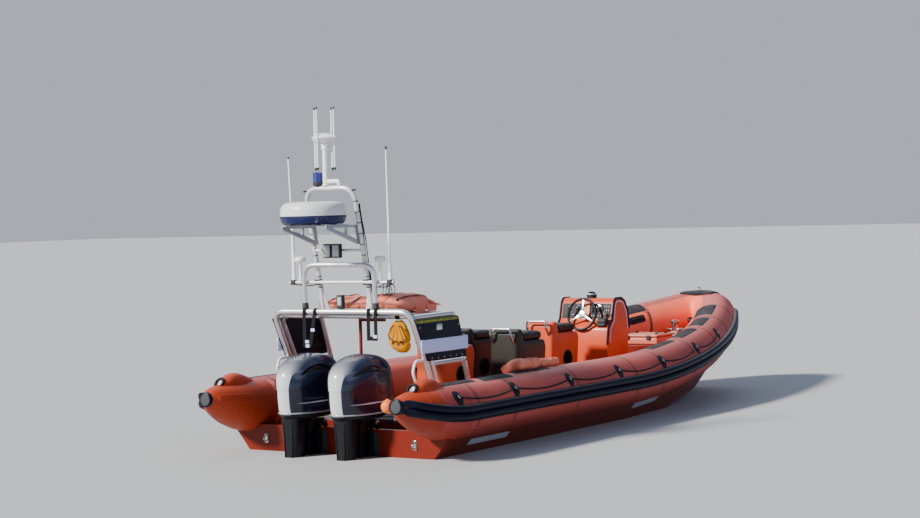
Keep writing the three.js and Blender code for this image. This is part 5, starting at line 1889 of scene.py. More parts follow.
@dataclass
class Mast:
    """The leaning mast arch with radar, lamps, aerials and their cables."""

    half: float = 0.28
    base_x: float = -3.39
    base_z: float = 1.3053
    top_x: float = -3.64
    top_z: float = 2.48
    radius: float = 0.022
    cross_z: float = 1.6
    cross_aft: float = 0.036
    cross_half: float = 0.6
    radar_x: float = -3.89
    arm_x: float = -4.04
    radar_z: float = 2.145
    radar_radius: float = 0.305
    lamp_z: float = 1.9
    finder_at: Point = (-3.64, 0.035, 2.945)

    def lean(self, z: float) -> float:
        """Where the legs are along the boat at a height."""
        return self.base_x + (self.top_x - self.base_x) * (z - self.base_z) / (self.top_z - self.base_z)

    @property
    def cross_x(self) -> float:
        """Where the cross bar is along the boat."""
        return self.lean(self.cross_z) - self.cross_aft

    @property
    def on_top(self) -> float:
        """The height of what stands on the arch."""
        return self.top_z + self.radius + CLEARANCE

    def arch(self) -> None:
        """The arch with cross bar, lamp bar, foot flanges and gussets."""
        w = self.half
        base, top = (self.base_x, self.base_z + 0.008), (self.top_x, self.top_z)
        corners = [(x, y, z) for (x, z), y in ((base, -w), (top, -w), (top, w), (base, w))]
        x = self.lean(self.lamp_z)
        parts = [pipe("arch", corners, self.radius, 0.15, ring=6),
                 pipe("cross", [(self.cross_x, y, self.cross_z) for y in (-self.cross_half, self.cross_half)],
                      0.017), pipe("lamp_bar", [(x, -w, self.lamp_z), (x, w, self.lamp_z)], 0.014)]
        foot = [(0, 0), (0.034, 0), (0.036, 0.002), (0.036, 0.008), (0.034, 0.01), (0, 0.01)]
        for s in (1, -1):
            parts.append(turned("foot", foot, (self.base_x, s * w, self.base_z)))
            corners = [(w - 0.084, 0.002), (w + 0.062, 0.002), (w + 0.026, 0.19), (w - 0.026, 0.19)]
            gusset = [(self.lean(self.base_z + rise) - 0.005, s * y, self.base_z + rise) for y,
                      rise in corners]
            parts.append(slab("gusset", gusset, (0.01, 0, 0), 0.002))
        settle(joined("mast_tubes", *parts), MAST_PAINT, replaces=["mast_arch"], smooth=50)
        half = Vector((0.03, 0.03, 0.026))
        places = [Vector((self.cross_x + 0.018, s * w, self.cross_z)) for s in (1, -1)]
        settle(joined("mast_saddles", *(block("saddle", at - half, at + half, 0.006) for at in places)),
               BLACK)

    def arm(self, side: Side) -> Object:
        """One of the radar's two plates, with two triangular windows."""
        top = self.radar_z - CLEARANCE
        high, low = self.lean(top - 0.012), self.lean(top - 0.18)
        y0 = (self.half - 0.0363) * side.value
        outline = [(high + 0.03, top - 0.01), (low + 0.03, top - 0.19), (low - 0.03, top - 0.19),
                   (self.arm_x, top - 0.04), (self.arm_x, top - 0.01)]
        plate = upright("arm", outline, y0, y0 + 0.014 * side.value)
        windows = (
            ((high - 0.03, top - 0.032), (low - 0.032, top - 0.148), (-3.72, top - 0.094),
             (-3.72, top - 0.032)),
            ((-3.745, top - 0.032), (-3.745, top - 0.088), (-3.9, top - 0.05), (-3.93, top - 0.032)))
        for window in windows:
            tool = upright("window", window, y0 - 0.02, y0 + 0.03, 0.004, 2)
            modify(plate, "BOOLEAN", object=tool, operation="DIFFERENCE", solver="EXACT")
            bpy.data.objects.remove(tool)
        return bevelled(plate, 0.0015, 2)

    def radar(self) -> None:
        """The radar on its bracket: a white dome over a blue base with small feet."""
        top = self.radar_z - CLEARANCE
        plate = block("plate", (self.arm_x, -0.2577, top - 0.012), (-3.7, 0.2577, top), 0.002)
        settle(joined("radar_arms", self.arm(Side.PORT), self.arm(Side.STARBOARD), plate), BRACKET,
               replaces=["radar_bracket"])
        r, z = self.radar_radius, self.radar_z
        rows = [(0.0, 0.004), (r - 0.06, 0.004), (r - 0.034, 0.008), (r - 0.014, 0.022), (r - 0.004, 0.045),
                (r, 0.072), (r, 0.1), (r - 0.002, 0.13), (r - 0.008, 0.158), (r - 0.022, 0.182),
                (r - 0.046, 0.2), (r - 0.085, 0.21), (r - 0.17, 0.2145), (0.0, 0.215)]
        dome = turned("radar_shell", smooth_profile(rows, 78, r), (self.radar_x, 0, z), sides=96)
        settle(dome, RADAR_SHELL, replaces=["radar_dome"], smooth=60)
        band = [(r + a, b) for a, b in ((-0.0005, 0.0685), (0.0005, 0.0695), (0.0005, 0.0725),
                                        (-0.0005, 0.0735), (-0.003, 0.071), (-0.0005, 0.0685))]
        settle(turned("radar_seam", band, (self.radar_x, 0, z), sides=96), BLACK)
        places = [(self.radar_x + a, b) for a in (-0.12, 0.12) for b in (-0.14, 0.14)]
        feet = [block("foot", (x - 0.022, y - 0.022, z), (x + 0.022, y + 0.022, z + 0.014), 0.004) for x,
                y in places]
        settle(joined("radar_feet", *feet), BLACK)

    def lamps(self) -> None:
        """Two finned floodlights with glass fronts on a plate."""
        x = self.lean(self.lamp_z) - 0.0143
        cases, fins, lenses = [], [], []
        for s in (1, -1):
            y = 0.04 + s * 0.052
            cases.append(block("case", (x - 0.056, y - 0.046, 1.83), (x - 0.006, y + 0.046, 1.962), 0.008))
            lenses.append(block("lens", (x - 0.0575, y - 0.038, 1.842), (x - 0.05, y + 0.038, 1.95), 0.003))
            fins += [block("fin", (x - 0.0075, y - 0.036 + 0.012 * k, 1.84),
                           (x - 0.001, y - 0.034 + 0.012 * k, 1.95), 0.0005) for k in range(7)]
        plate = block("plate", (x - 0.012, -0.03, 1.88), (x, 0.11, 1.92), 0.002)
        settle(joined("floodlight_cases", *cases, *fins, plate), BLACK, replaces=["floodlights"])
        settle(joined("floodlight_lenses", *lenses), LENS)

    def finder(self) -> None:
        """The direction-finding aerial: pole, shallow dome and four upright rods with black tips."""
        x, y, rim = self.finder_at
        rows = [(0, 0), (0.036, 0), (0.05, 0.012), (0.06, 0.03), (0.095, 0.036), (0.12, 0.042),
                (0.124, 0.046), (0.122, 0.051), (0.105, 0.061), (0.085, 0.072), (0.06, 0.082), (0.03, 0.09),
                (0, 0.092)]
        settle(turned("finder_dome", rows, (x, y, rim - 0.045), sides=56), WHITE, replaces=["df_aerial"],
               smooth=50)
        neck = ((0.025, 0.11), (0.035, 0.105), (0.036, 0.085), (0.03, 0.075), (0.036, 0.066), (0.036, 0.052),
                (0.03, 0.04), (0, 0.04))
        pole = [(0, 0), (0.034, 0), (0.034, 0.012), (0.025, 0.016),
                *((r, rim - down - self.on_top) for r, down in neck)]
        settle(turned("finder_pole", pole, (x, y, self.on_top), sides=36), WHITE)
        rod = [(0, -0.23), (0.009, -0.23), (0.0095, -0.2), (0.0095, 0.2), (0.008, 0.31), (0, 0.31)]
        tip = [(0, 0.309), (0.009, 0.309), (0.009, 0.324), (0.006, 0.33), (0, 0.33)]
        end = [(0, -0.255), (0.008, -0.252), (0.0105, -0.24), (0.0105, -0.228), (0, -0.228)]
        socket = [(0, 0.02), (0.02, 0.02), (0.021, 0.03), (0.02, 0.055), (0.015, 0.06), (0, 0.06)]
        rods, tips = [], []
        for at in arc((x, y, rim - 0.045), (0.112, 0, 0), (0, 0.112, 0), 4)[:-1]:
            rods += [turned("rod", rod, at, sides=18), turned("socket", socket, at, sides=24)]
            tips += [turned("tip", tip, at, sides=18), turned("end", end, at, sides=18)]
        settle(joined("finder_rods", *rods), WHITE)
        settle(joined("finder_tips", *tips), BLACK)

    def blue_light(self) -> None:
        """The blue light: a ribbed lens on a black foot."""
        at = (self.top_x, 0.128, self.on_top)
        foot = [(0, 0), (0.034, 0), (0.04, 0.006), (0.046, 0.012), (0.046, 0.03), (0.043, 0.034), (0, 0.034)]
        lens = [(0, 0.034), (0.0425, 0.034)]
        for k in range(16):
            z = 0.036 + k * 0.005
            lens += [(0.0445, z), (0.0432, z + 0.0025)]
        lens += [(0.0445, 0.117), (0.04, 0.124), (0.03, 0.1275), (0, 0.13)]
        settle(turned("blue_light_foot", foot, at), BLACK, replaces=["blue_light"])
        settle(turned("blue_light_lens", lens, at, sides=48), BLUE_LENS, smooth=50)

    def whips(self) -> None:
        """Two whip aerials on poles and two round aerials, all on the cross bar."""
        base = self.cross_z + 0.0173
        half = Vector((0.028, 0.024, 0.024))
        for side, low, high in ((Side.PORT, 2.12, 2.79), (Side.STARBOARD, 1.76, 2.85)):
            foot, word, rise = side.at(self.cross_x, 0.56, base), side.word, low - base
            mount = [(0, 0), (0.02, 0), (0.02, 0.05), (0.0175, 0.055), (0.0175, rise - 0.04),
                     (0.0195, rise - 0.036), (0.0195, rise), (0.014, rise + 0.006), (0, rise + 0.006)]
            settle(turned(f"whip_mount_{word}", mount, foot, sides=28), WHITE,
                   replaces=[f"{word}_whip_aerial"])
            start = Vector((foot.x, foot.y, low))
            tip = Vector((foot.x - 0.025, foot.y + side.value * 0.008, high))
            rod = [start.lerp(tip, t) for t in (0, 0.25, 0.5, 0.75, 0.975)]
            settle(pipe(f"whip_rod_{word}", rod, 0.0125, taper=(1, 0.93, 0.86, 0.78, 0.7), ring=4), WHITE)
            end = [start.lerp(tip, t) for t in (0.97, 0.985, 1)]
            settle(pipe(f"whip_tip_{word}", end, 0.0095, taper=(1, 1, 0.7), ring=4), BLACK)
            at = Vector((foot.x, foot.y, self.cross_z))
            settle(block(f"whip_clamp_{word}", at - half, at + half, 0.006), BLACK)
        cap = [(0, 0), (0.02, 0), (0.022, 0.006), (0.0145, 0.03), (0.014, 0.162), (0.02, 0.168),
               (0.044, 0.176), (0.05, 0.184), (0.052, 0.196), (0.05, 0.21), (0.042, 0.221), (0.026, 0.227),
               (0, 0.228)]
        for word, y in (("port", 0.48), ("starboard", -0.45)):
            button = turned(f"mushroom_{word}", cap, (self.cross_x, y, base), sides=36)
            settle(button, WHITE, replaces=[f"{word}_round_aerial"], smooth=50)

    def conduit(self) -> None:
        """The white cable pipe from the aerial's pole to the arch."""
        points = [(self.top_x, y, self.on_top + rise) for y,
                  rise in ((0.0097, 0.04), (-0.12, 0.04), (-0.12, 0))]
        settle(pipe("mast_conduit", points, 0.02, 0.032, ring=6), WHITE, replaces=["mast_pipe"], smooth=50)

    def cables(self) -> None:
        """The black cables tied along the legs and under the cross bar, with their ties."""
        runs, ties = [], []
        for s, dy in ((-1, -0.026), (-1, -0.012), (1, 0.022)):
            points = []
            for k in range(15):
                z = self.base_z + 0.03 + (2.3 - self.base_z) * k / 14
                sway = 0.004 * math.sin(7 * k + dy * 300)
                points.append(Vector((self.lean(z) + 0.024 + 0.003 * math.cos(5 * k),
                                      s * self.half + dy + sway, z)))
            runs.append(pipe("run", points, 0.0048, ring=2))
        band = ((0.0002, -0.004), (0.002, -0.004), (0.002, 0.004), (0.0002, 0.004), (0.0002, -0.004))
        ring = [(self.radius + out, up) for out, up in band]
        lean = Vector((self.top_x - self.base_x, 0, self.top_z - self.base_z))
        for s in (1, -1):
            for z in (self.base_z + 0.25 + 0.1 * k for k in range(10)):
                ties.append(turned("tie", ring, (self.lean(z), s * self.half, z), lean, 20))
        for y0, y1 in ((-0.57, -0.3), (-0.47, -0.3), (0.3, 0.56), (0.3, 0.5)):
            points = []
            for t in (k / 12 for k in range(13)):
                sag = 0.03 * math.sin(math.pi * t) * abs(math.sin(9 * y0))
                points.append(Vector((self.cross_x + 0.021, y0 + (y1 - y0) * t, self.cross_z - 0.02 - sag)))
            runs.append(pipe("run", points, 0.0045, ring=2))
        for y, turn in ((-0.54, 0.0), (-0.5, 0.8), (-0.57, 1.6)):
            at = Vector((self.cross_x, y, self.cross_z - 0.065))
            loop = [at + Vector((0.014 * math.sin(2 * a + turn), 0.03 * math.cos(a), 0.055 * math.sin(a)))
                    for a in (i * math.pi / 14 for i in range(29))]
            runs.append(pipe("loop", loop, 0.004, ring=2))
        settle(joined("mast_cables", *runs), RUBBER)
        settle(joined("mast_cable_ties", *ties), BLACK)

    def build(self) -> None:
        """Makes the mast and all that stands on it."""
        self.arch()
        self.radar()
        self.lamps()
        self.finder()
        self.blue_light()
        self.whips()
        self.conduit()
        self.cables()


# Bags


@dataclass
class Bags:
    """The righting bag on the frame, the bag that hangs in it, two stowed bags and the fender ball."""

    flat: tuple[float, ...] = (-3.26, -2.57, -0.5, 0.5, 1.3053, 1.4553)
    hung: tuple[float, ...] = (-3.495, -3.345, -0.712, -0.472, 0.9477, 1.2537)
    rolls: tuple[tuple[str, float, float, float, float, float], ...] = (
        ("folded_bag", -2.22, -1.84, 106, 0.1, 0.058), ("rolled_bag", -1.74, -1.42, 106, 0.062, 0.043))

    def righting_bag(self) -> None:
        """The soft orange bag, higher to starboard, with seams, straps, two laced flaps and a loose corner.
        """
        x0, x1, y0, y1, z0, z1 = self.flat
        rows = ((0.5, -2.94, 0.26, 0.035), (0.475, -2.94, 0.3, 0.085), (0.36, -2.93, 0.31, 0.112),
                (0.2, -2.91, 0.31, 0.085), (0.04, -2.91, 0.32, 0.115), (-0.14, -2.91, 0.33, 0.145),
                (-0.32, -2.9, 0.32, 0.125), (-0.46, -2.88, 0.3, 0.08), (-0.5, -2.87, 0.22, 0.03))

        def place(u: float, v: float) -> Vector:
            y, x, half, high = smooth_row(rows, u)
            a, b = oval(-half, half, high / 2, 2 * math.pi * v, 2.6)
            fold = (0.007 * math.sin(17 * y + 6 * a) + 0.004 * math.sin(31 * a - 9 * y)) * eased(b, 0, 0.03)
            return Vector((x + a, max(y0, min(y1, y)), z0 + 0.004 + high / 2 + b + fold))

        bag = stuffed(wrapped("righting_bag_cover", 60, 48, place), 0.012, 0.024, 5.0)
        kept_in(bag, (x0, y0, z0), (x1, y1, z1 + 0.008))

        def gap(at: Vector) -> float:
            if at.z < z0 + 0.03:
                return 1.0
            across = min(abs(at.y - s + 0.1 * (at.x + 2.9)) for s in (-0.3, -0.02, 0.26))
            return min(across, abs(at.x - (x1 - 0.14)))

        sewn(bag, 0.012, 0.014, gap)
        settle(bag, BAG_ORANGE, replaces=["righting_bag"], smooth=60)
        for k, y in enumerate((-0.4, -0.16, 0.12, 0.36)):
            top = [snug(bag, (x0 + 0.06 + (x1 - x0 - 0.12) * i / 24, y, z1 + 0.05), 0.0022)
                   for i in range(25)]
            ends = [Vector((x, y, z0 + 0.03)) for x in (top[0].x - 0.012, top[-1].x + 0.012)]
            settle(ribbon(f"righting_bag_strap_{k}", [ends[0], *top, ends[1]], 0.026, 0.0025, (0, 1, 0)),
                   WEBBING)
        self.flaps()

    def flaps(self) -> None:
        """The two laced flaps under the bag's starboard edge, and one pointed corner."""
        y, z = -0.486, self.flat[4]
        laces = []
        shape = ((-0.085, 0.055), (0.085, 0.05), (0.07, -0.03), (0.035, -0.058), (-0.035, -0.052),
                 (-0.07, -0.02))
        lace = ((-0.008, -0.008, -0.028), (0, -0.009, -0.044), (0.008, -0.008, -0.028))
        for k, x in enumerate((-2.9, -2.72)):
            corners = [(x + a, z + b) for a, b in shape]
            settle(upright(f"righting_bag_flap_{k}", corners, y - 0.006, y + 0.003, 0.003), BAG_ORANGE)
            for middle in (x - 0.05 + 0.033 * j for j in range(4)):
                path = [(middle + along, y + out, z + up) for along, out, up in lace]
                laces.append(pipe("lace", path, 0.0032, ring=2))
        settle(joined("righting_bag_laces", *laces), SKY_SHADED_WHITE)

        def corner(u: float, v: float) -> Vector:
            a = 2 * math.pi * v
            size = (1 - u) ** 0.8 + 0.03
            return Vector((-2.71 + 0.145 * u, -0.42 - 0.07 * u + 0.06 * size * math.cos(a),
                           z + 0.062 - 0.035 * u * u + 0.028 * size * math.sin(a) + 0.006 * math.sin(9 * u)))

        settle(wrapped("righting_bag_corner", 16, 20, corner), BAG_ORANGE, smooth=60)

    def yellow_bag(self) -> None:
        """The hanging yellow bag: lobes that fan out from its top, a black welt and a strap."""
        x0, x1, y0, y1, z0, z1 = self.hung
        rows = ((z0, -0.635, 0.03, 0.02), (z0 + 0.012, -0.63, 0.055, 0.04), (z0 + 0.045, -0.615, 0.09, 0.06),
                (z0 + 0.1, -0.6, 0.108, 0.066), (z0 + 0.165, -0.592, 0.112, 0.062),
                (z0 + 0.225, -0.592, 0.096, 0.054), (z0 + 0.27, -0.595, 0.064, 0.042),
                (z0 + 0.295, -0.598, 0.036, 0.028), (z1, -0.6, 0.02, 0.016))

        def place(u: float, v: float) -> Vector:
            z, y, half, thick = smooth_row(rows, u)
            a, b = oval(-half, half, thick, 2 * math.pi * v, 2.5)
            return Vector(((x0 + x1) / 2 + b, y + a, z))

        bag = kept_in(stuffed(wrapped("hanging_bag", 48, 40, place), 0.0062, 0.012), (x0, y0, z0),
                      (x1, y1, z1))
        hub = Vector((0, -0.597, z1 + 0.01))
        fan = (-0.72, -0.42, -0.14, 0.14, 0.42, 0.72)

        def rim(turn: float) -> float:
            return 0.232 - 0.012 * abs(math.sin(math.pi * (turn - 0.14) / 0.28)) + 0.03 * turn

        def gap(at: Vector) -> float:
            reach = math.hypot(at.y - hub.y, hub.z - at.z)
            turn = math.atan2(hub.y - at.y, hub.z - at.z)
            if reach > rim(turn) + 0.03:
                return 1.0
            lobes = min(reach * abs(math.sin(turn - t)) for t in fan) + (0 if reach < rim(turn) else 1)
            return min(lobes, abs(reach - rim(turn)))

        sewn(bag, 0.013, 0.009, gap)
        settle(bag, BAG_YELLOW, replaces=["yellow_bag"], smooth=60)

        def on_front(turn: float, reach: float) -> Vector:
            at = (x0 - 0.03, hub.y - reach * math.sin(turn), hub.z - reach * math.cos(turn))
            return snug(bag, at, 0.001)

        welt = [on_front(turn, rim(turn)) for turn in (-0.72 + 1.44 * i / 80 for i in range(81))]
        sides = [[on_front(turn, 0.05 + 0.02 * k) for k in range(10)] for turn in (fan[0], fan[-1])]
        path = [*sides[0], *welt, *reversed(sides[1])]
        settle(pipe("hanging_bag_welt", path, 0.004, ring=2), RUBBER)
        wrap = arc((x0 + 0.075, -0.592, 1.28), (0.0265, 0, 0), (0, 0, 0.0265), 24)
        settle(ribbon("hanging_bag_strap", wrap, 0.05, 0.003, (0, 1, 0)), WEBBING)

    def stowed(self) -> None:
        """The folded bag and the rolled one that lie on the starboard tube."""
        for name, x0, x1, turn, wide, thick in self.rolls:
            def place(u: float, v: float) -> Vector:
                a, size = 2 * math.pi * v, math.sqrt(max(0.0, 1 - abs(2 * u - 1) ** 9))
                out, up = oval(-wide, wide, thick, a, 2.8)
                fold = 0.006 * math.sin(3 * a + 8 * u) + 0.004 * math.sin(23 * u + 2 * a)
                angle = turn + math.degrees(out * (0.7 + 0.3 * size) / LINE.radius) + 3 * math.sin(4 * u)
                lift = thick + 0.004 + (up + fold * size) * size
                return LINE.skin(LINE.distance(x0 + (x1 - x0) * u), angle, Side.STARBOARD, lift)

            def gap(at: Vector) -> float:
                return min(abs(at.x - (x0 + x1) / 2 + 0.3 * (at.y + 1)), abs(at.x - x1 + 0.07))

            bag = sewn(wrapped(name, 60, 40, place), 0.008, 0.008, gap)
            settle(bag, BAG_ORANGE, smooth=60)

    def ball(self) -> None:
        """The orange fender ball at the starboard cone's tip, with its rope eye and seam."""
        at, r = Vector((-4.05, -0.8931, 0.519)), 0.062
        profile = [(0.0, -r)]
        for a in (math.pi * (i / 40 - 0.5) for i in range(1, 40)):
            seam = 1 + 0.012 * math.exp(-((a / 0.03) ** 2))
            profile.append((r * seam * math.cos(a), r * math.sin(a)))
        profile.append((0.0, r))
        settle(turned("fender_float", profile, at, sides=48), BALL, replaces=["fender_ball"], smooth=60)
        neck = [(0, -0.004), (0.017, -0.004), (0.017, 0.006), (0.012, 0.01), (0, 0.01)]
        settle(turned("fender_neck", neck, at + Vector((0, 0, r - 0.004)), sides=24), BALL)
        ring = arc((-3.99, -0.935, 0.415), (0.02, 0, 0), (0, 0, 0.02), 18)
        settle(pipe("fender_shackle", ring, 0.005), STAINLESS)

    def build(self) -> None:
        """Makes the bags and the fender ball."""
        self.righting_bag()
        self.yellow_bag()
        self.stowed()
        self.ball()


# Engines


@dataclass
class Outboard:
    """One outboard engine: cowl, leg, bracket, swivel, powerhead and propeller."""

    side: Side
    forward: float = 0.05
    cowl_rows: Rows = ((0.4003, -4.08, -3.48, 0.212), (0.43, -4.09, -3.462, 0.22),
                       (0.52, -4.103, -3.42, 0.236), (0.64, -4.108, -3.402, 0.24),
                       (0.745, -4.1, -3.408, 0.236), (0.82, -4.06, -3.432, 0.222),
                       (0.878, -3.985, -3.47, 0.196), (0.918, -3.885, -3.53, 0.155),
                       (0.938, -3.79, -3.6, 0.105), (0.946, -3.73, -3.65, 0.05))
    cowl_top: float = 0.946
    cowl_middle: float = -3.74
    steer_x: float = -3.735
    prop_z: float = -0.555
    prop_x: float = -4.088
    prop_radius: float = 0.17

    def name(self, word: str) -> str:
        """A piece's name on this side."""
        return f"{self.side.word}_{word}"

    @property
    def offset(self) -> Vector:
        """From the engine's own drawing to its place on the boat."""
        return Vector((self.forward, ENGINE_Y * self.side.value, 0))

    def put(self, word: str, parts: Sequence[Object], finish: Finish, body: str = "engine", node: str = "",
            smooth: float = 40.0) -> None:
        """Joins parts, moves them to this engine and settles them on one of its bodies.

        Args:
            word: The new piece's name, without the side.
            parts: What it is made of, in the engine's own drawing.
            finish: Its finish.
            body: The body that it rides on, without the side.
            node: The frame node that it stands for, without the side.
            smooth: The angle in degrees below which its faces shade as one.
        """
        whole = moved(joined(self.name(word), *parts), self.offset)
        settle(whole, finish, self.name(body), [self.name(node)] if node else (), smooth)

    @staticmethod
    def egg(aft: float, fore: float, half: float, turn: float) -> tuple[float, float]:
        """The cowl's outline at a turn in radians: squarer ahead of its widest place."""
        wide = aft + 0.68 * (fore - aft)
        c, s = math.cos(turn), math.sin(turn)
        power, reach = (3.2, fore - wide) if c > 0 else (2.0, wide - aft)
        grow = 2 / power
        return wide + reach * math.copysign(abs(c) ** grow, c), half * math.copysign(abs(s) ** grow, s)

    @staticmethod
    def crease(x: float) -> float:
        """The height of the line between the cowl's hood and its lower part."""
        return 0.63 + 0.17 * eased(x, -4.12, -3.62)

    def cowl(self) -> None:
        """The cowl with its hood line, intake mouths, silver spine and stripe, and pale bottom trim."""
        def body(u: float, v: float) -> Vector:
            z, aft, fore, half = smooth_row(self.cowl_rows, v)
            x, y = self.egg(aft, fore, half, 2 * math.pi * u)
            return Vector((x, y, min(z, self.cowl_top)))

        def mouth(at: Vector) -> float:
            along = (at.x + 3.8) / 0.2
            middle = 0.822 - 0.05 * along * along + 0.012 * along
            return min(1.0 - abs(along), (0.026 * (1 - along * along) + 0.003 - abs(at.z - middle)) / 0.02)

        def place(u: float, v: float) -> Vector:
            at = body(u, v)
            out = Vector((at.x - self.cowl_middle, at.y, 0)).normalized()
            step = 0.006 * eased(at.z - self.crease(at.x), -0.006, 0.004)
            groove = 0.004 * math.exp(-(((at.z - 0.425) / 0.005) ** 2))
            dent = 0.022 * eased(mouth(at), -0.1, 0.5)
            lift = -0.006 + step - groove - dent
            if at.z > 0.9:
                lift *= max(0.0, (self.cowl_top - at.z) / 0.046)
            return at + out * lift

        def spine(u: float, v: float) -> float:
            at = body(u, v)
            soft = 1 - 0.965 * eased(at.z, 0.66, 0.8)
            return min(0.066 + 0.03 * eased(at.z, 0.6, 0.85) - abs(at.y), -3.7 - at.x) * soft

        def fade(u: float, v: float) -> float:
            return 1 - 0.9 * eased(body(u, v).z, 0.7, 0.94)

        def stripe(u: float, v: float) -> float:
            at = body(u, v)
            along = (at.x + 4.03) / 0.46
            if not -0.05 < along < 1.05:
                return -0.05
            middle = 0.505 + 0.012 * along
            return min(0.007 * (1 - 0.75 * abs(2 * along - 1)) - abs(at.z - middle),
                       0.46 * min(along, 1 - along))

        def hood(u: float, v: float) -> float:
            at = body(u, v)
            return at.z - self.crease(at.x)

        # This mark lays painted shade in the intake mouths.
        def dark(u: float, v: float) -> float:
            return mouth(body(u, v))

        marks = {"spine": spine, "fade": fade, "stripe": stripe, "hood": hood, "mouth": dark}
        self.put("cowl_shell", [wrapped("cowl", 200, 130, place, marks=marks)], COWL, node="engine_cowl",
                 smooth=60)

        def trim(u: float, v: float) -> Vector:
            a = 2 * math.pi * v
            x, y = self.egg(-4.082, -3.478, 0.2135, 2 * math.pi * u)
            out = Vector((x - self.cowl_middle, y, 0)).normalized()
            return Vector((x, y, 0.412 + 0.0065 * math.sin(a))) + out * (0.0035 * math.cos(a) - 0.001)

        self.put("cowl_trim", [wrapped("trim", 120, 8, trim)], TRIM)

    @staticmethod
    def ring(name: str, rows: Rows, columns: int = 64, steps: int = 8) -> Object:
        """A smooth body through rounded outlines of (height, aft, fore, half breadth, squareness)."""
        def place(u: float, v: float) -> Vector:
            z, aft, fore, half, power = smooth_row(rows, v)
            x, y = oval(aft, fore, half, 2 * math.pi * u, power)
            return Vector((x, y, z))

        return wrapped(name, columns, steps * (len(rows) - 1), place)

    def leg(self) -> None:
        """The pan, midsection, plate, strut, gearcase and skeg, with intakes, anode and trim tab."""
        def pan(u: float, v: float) -> Vector:
            z, aft, fore, half = smooth_row(bottom, v)
            x, y = self.egg(aft, fore, half, 2 * math.pi * u)
            return Vector((x, y, z))

        bottom = ((0.355, -4.02, -3.56, 0.15), (0.368, -4.046, -3.526, 0.178), (0.38, -4.066, -3.496, 0.196),
                  (0.392, -4.072, -3.488, 0.204), (0.4, -4.072, -3.488, 0.205))
        column = ((0.37, -4.036, -3.842, 0.104, 3), (0.25, -4.031, -3.842, 0.096, 3),
                  (0.12, -4.026, -3.842, 0.086, 3), (-0.04, -4.029, -3.843, 0.071, 3),
                  (-0.2, -4.034, -3.845, 0.058, 3), (-0.372, -4.054, -3.85, 0.046, 3))
        edge = ((-4.029, 0.05, 0.33), (-4.024, 0.044, 0.12), (-4.032, 0.03, -0.2))
        mount = [(0, 0.3323), (0.034, 0.3323), (0.036, 0.335), (0.036, 0.37), (0, 0.37)]
        self.put("leg_upper", [wrapped("pan", 110, 16, pan), self.ring("column", column),
                               *(pipe("edge", [(x, s * y, z) for x, y, z in edge], 0.006) for s in (1, -1)),
                               block("yoke", (self.steer_x - 0.13, -0.045, -0.165),
                                     (self.steer_x + 0.036, 0.045, -0.1323), 0.006),
                               turned("mount", mount, (self.steer_x, 0, 0), sides=28)], CASTING,
                 node="engine_leg")
        plates = []
        for z, aft, fore, half, thin, nose, rise, step in (
                (-0.385, -4.205, -3.855, 0.1, 0.005, 0.006, 0.015, 0.003),
                (-0.305, -4.126, -3.842, 0.068, 0.004, 0.003, 0.01, 0.002)):
            outer, inner = (aft, fore, half, 2.4), (aft + 0.006, fore - nose, half - thin, 2.4)
            rows = ((z, *inner), (z + step, *outer), (z + rise - step, *outer), (z + rise, *inner))
            plates.append(self.ring("plate", rows, 72, 3))
        strut = ((-0.375, -4.07, -3.85, 0.038, 2.2), (-0.45, -4.068, -3.835, 0.033, 2.2),
                 (self.prop_z, -4.06, -3.8, 0.03, 2.2))
        rows = ((0.0, 0.0), (0.044, 0.0), (0.049, 0.012), (0.054, 0.06), (0.0545, 0.14), (0.054, 0.21),
                (0.0495, 0.26), (0.042, 0.295), (0.031, 0.327), (0.018, 0.35), (0.008, 0.361), (0.0, 0.365))
        case_at = (self.prop_x + CLEARANCE, 0, self.prop_z)
        top, tip = self.prop_z - 0.04, self.prop_z - 0.215
        skeg = [(-4.02, top), (-3.83, top), (-3.862, self.prop_z - 0.12), (-3.915, tip + 0.004),
                (-3.935, tip), (-3.985, tip), (-4.0, tip + 0.006)]
        self.put("leg_lower", [
            *plates, self.ring("strut", strut), turned("case", smooth_profile(rows, 55), case_at, (1, 0, 0)),
            upright("skeg", skeg, -0.007, 0.007, 0.0045)], CASTING)
        # The intake slots are dark blocks of painted shade.
        slots = []
        for x in (-3.93 + 0.018 * k for k in range(4)):
            for s in (1, -1):
                y = s * 0.0335
                slots.append(block("slot", (x, y - 0.006, -0.47), (x + 0.009, y + 0.0025 * s, -0.42), 0.0012))
        self.put("leg_intakes", slots, OPENING_SHADE)
        tab = [(-4.19, -0.386), (-4.1, -0.386), (-4.105, -0.42), (-4.17, -0.428)]
        self.put("leg_anodes", [upright("tab", tab, -0.008, 0.008, 0.005),
                                block("anode", (-4.03, -0.03, -0.366), (-3.96, 0.03, -0.368), 0.002)], ZINC)

    def mounts(self) -> None:
        """The clamp bracket on the transom and the swivel with its tilt tube."""
        copy = from_frame(self.name("clamp_bracket"), self.name("engine_bracket"), 0.003)
        settle(copy, CASTING, "boat", [self.name("engine_bracket")], 35)
        y = ENGINE_Y * self.side.value
        heads = [(TRANSOM_X - 0.0095, y + s * 0.089, z) for s in (1, -1) for z in (-0.09, 0.02)]
        nut = [(0, -0.001), (0.026, -0.001), (0.026, 0.003), (0.02, 0.004), (0.02, 0.012), (0.012, 0.015),
               (0, 0.015)]
        nuts = [turned("nut", nut, (-3.565, y + s * 0.1185, 0.31), (0, s, 0), 6) for s in (1, -1)]
        settle(bolts(self.name("clamp_bolts"), heads, (-1, 0, 0), 0.009), STAINLESS)
        swivel = from_frame(self.name("swivel_bracket"), self.name("engine_swivel"), 0.003)
        settle(swivel, CASTING, self.name("tilt"), [self.name("engine_swivel")], 35)
        settle(joined(self.name("tilt_nuts"), *nuts), STAINLESS, self.name("tilt"))

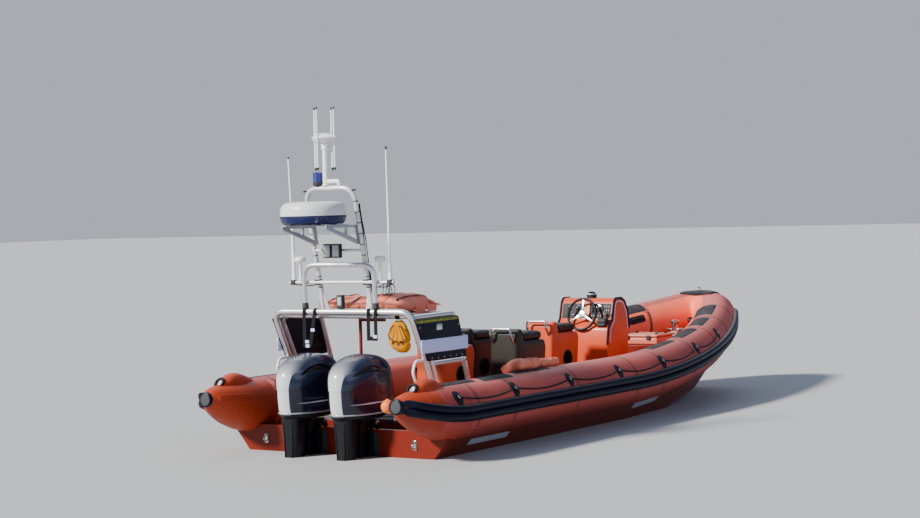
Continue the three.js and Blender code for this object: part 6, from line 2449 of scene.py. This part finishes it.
    def powerhead(self) -> None:
        """The powerhead inside the cowl: a ribbed block and the flywheel cover."""
        core = block("core", (-3.955, -0.105, 0.4003), (-3.625, 0.105, 0.7), 0.02)
        starts = [-3.95 + 0.04 * k for k in range(8)]
        ribs = [block("rib", (x, -0.1095, 0.43), (x + 0.01, 0.1095, 0.66), 0.002) for x in starts]
        cover = [(0, 0.7), (0.098, 0.7), (0.104, 0.706), (0.104, 0.745), (0.098, 0.76), (0.06, 0.775),
                 (0, 0.778)]
        parts = [core, *ribs, turned("cover", cover, (-3.78, 0, 0))]
        self.put("powerhead", parts, POWERHEAD, node="engine_block", smooth=35)

    def propeller(self) -> None:
        """Three twisted blades on a hub."""
        x, z, r = self.prop_x, self.prop_z, self.prop_radius
        hub = [(0, 0), (0.039, 0), (0.042, 0.004), (0.0465, 0.02), (0.048, 0.045), (0.0475, 0.08),
               (0.046, 0.1), (0.044, 0.105), (0.036, 0.105), (0.033, 0.098), (0.014, 0.098), (0.011, 0.104),
               (0, 0.105)]

        def blade(u: float, v: float) -> Vector:
            reach = 0.038 + (r - 0.0385) * v
            share = (reach - 0.038) / (r - 0.038)
            chord = 0.072 * (0.62 + 1.5 * share - 1.15 * share**2) * math.sqrt(max(0.0004, 1 - share**6))
            turn, pitch = 2 * math.pi * u, math.radians(62 - 38 * share)
            along, thick = chord * math.cos(turn), (0.0045 - 0.003 * share) * math.sin(turn)
            away = along * math.cos(pitch) + thick * math.sin(pitch)
            sweep = along * math.sin(pitch) - thick * math.cos(pitch) + 0.02 * share**2
            away = max(-0.05, min(0.05, away)) - 0.0525 - 0.004 * share
            angle = sweep / max(reach, 0.04)
            return Vector((x + away, reach * math.sin(angle), z + reach * math.cos(angle)))

        blades = [wrapped("blade", 40, 24, blade)]
        shift = Matrix.Translation((0, 0, z))
        for k in (1, 2):
            blades.append(copied(blades[0], "blade"))
            blades[k].data.transform(shift @ Matrix.Rotation(2 * math.pi * k / 3, 4, "X") @ shift.inverted())
        parts = [turned("hub", hub, (x, 0, z), (-1, 0, 0), 40), *blades]
        self.put("screw_blades", parts, SCREW, "screw", "propeller", 50)

    def build(self) -> None:
        """Makes the engine."""
        self.mounts()
        self.powerhead()
        self.leg()
        self.propeller()
        self.cowl()


def main() -> None:
    """Builds the scene and reports each piece."""
    logging.basicConfig(level=logging.INFO, format="%(name)s: %(message)s")
    Studio().build()
    Collar().build()
    Hull().build()
    Helm().build()
    Seats().build()
    RollBar().build()
    Mast().build()
    Bags().build()
    for side in Side:
        Outboard(side).build()


if __name__ == "__main__":
    main()
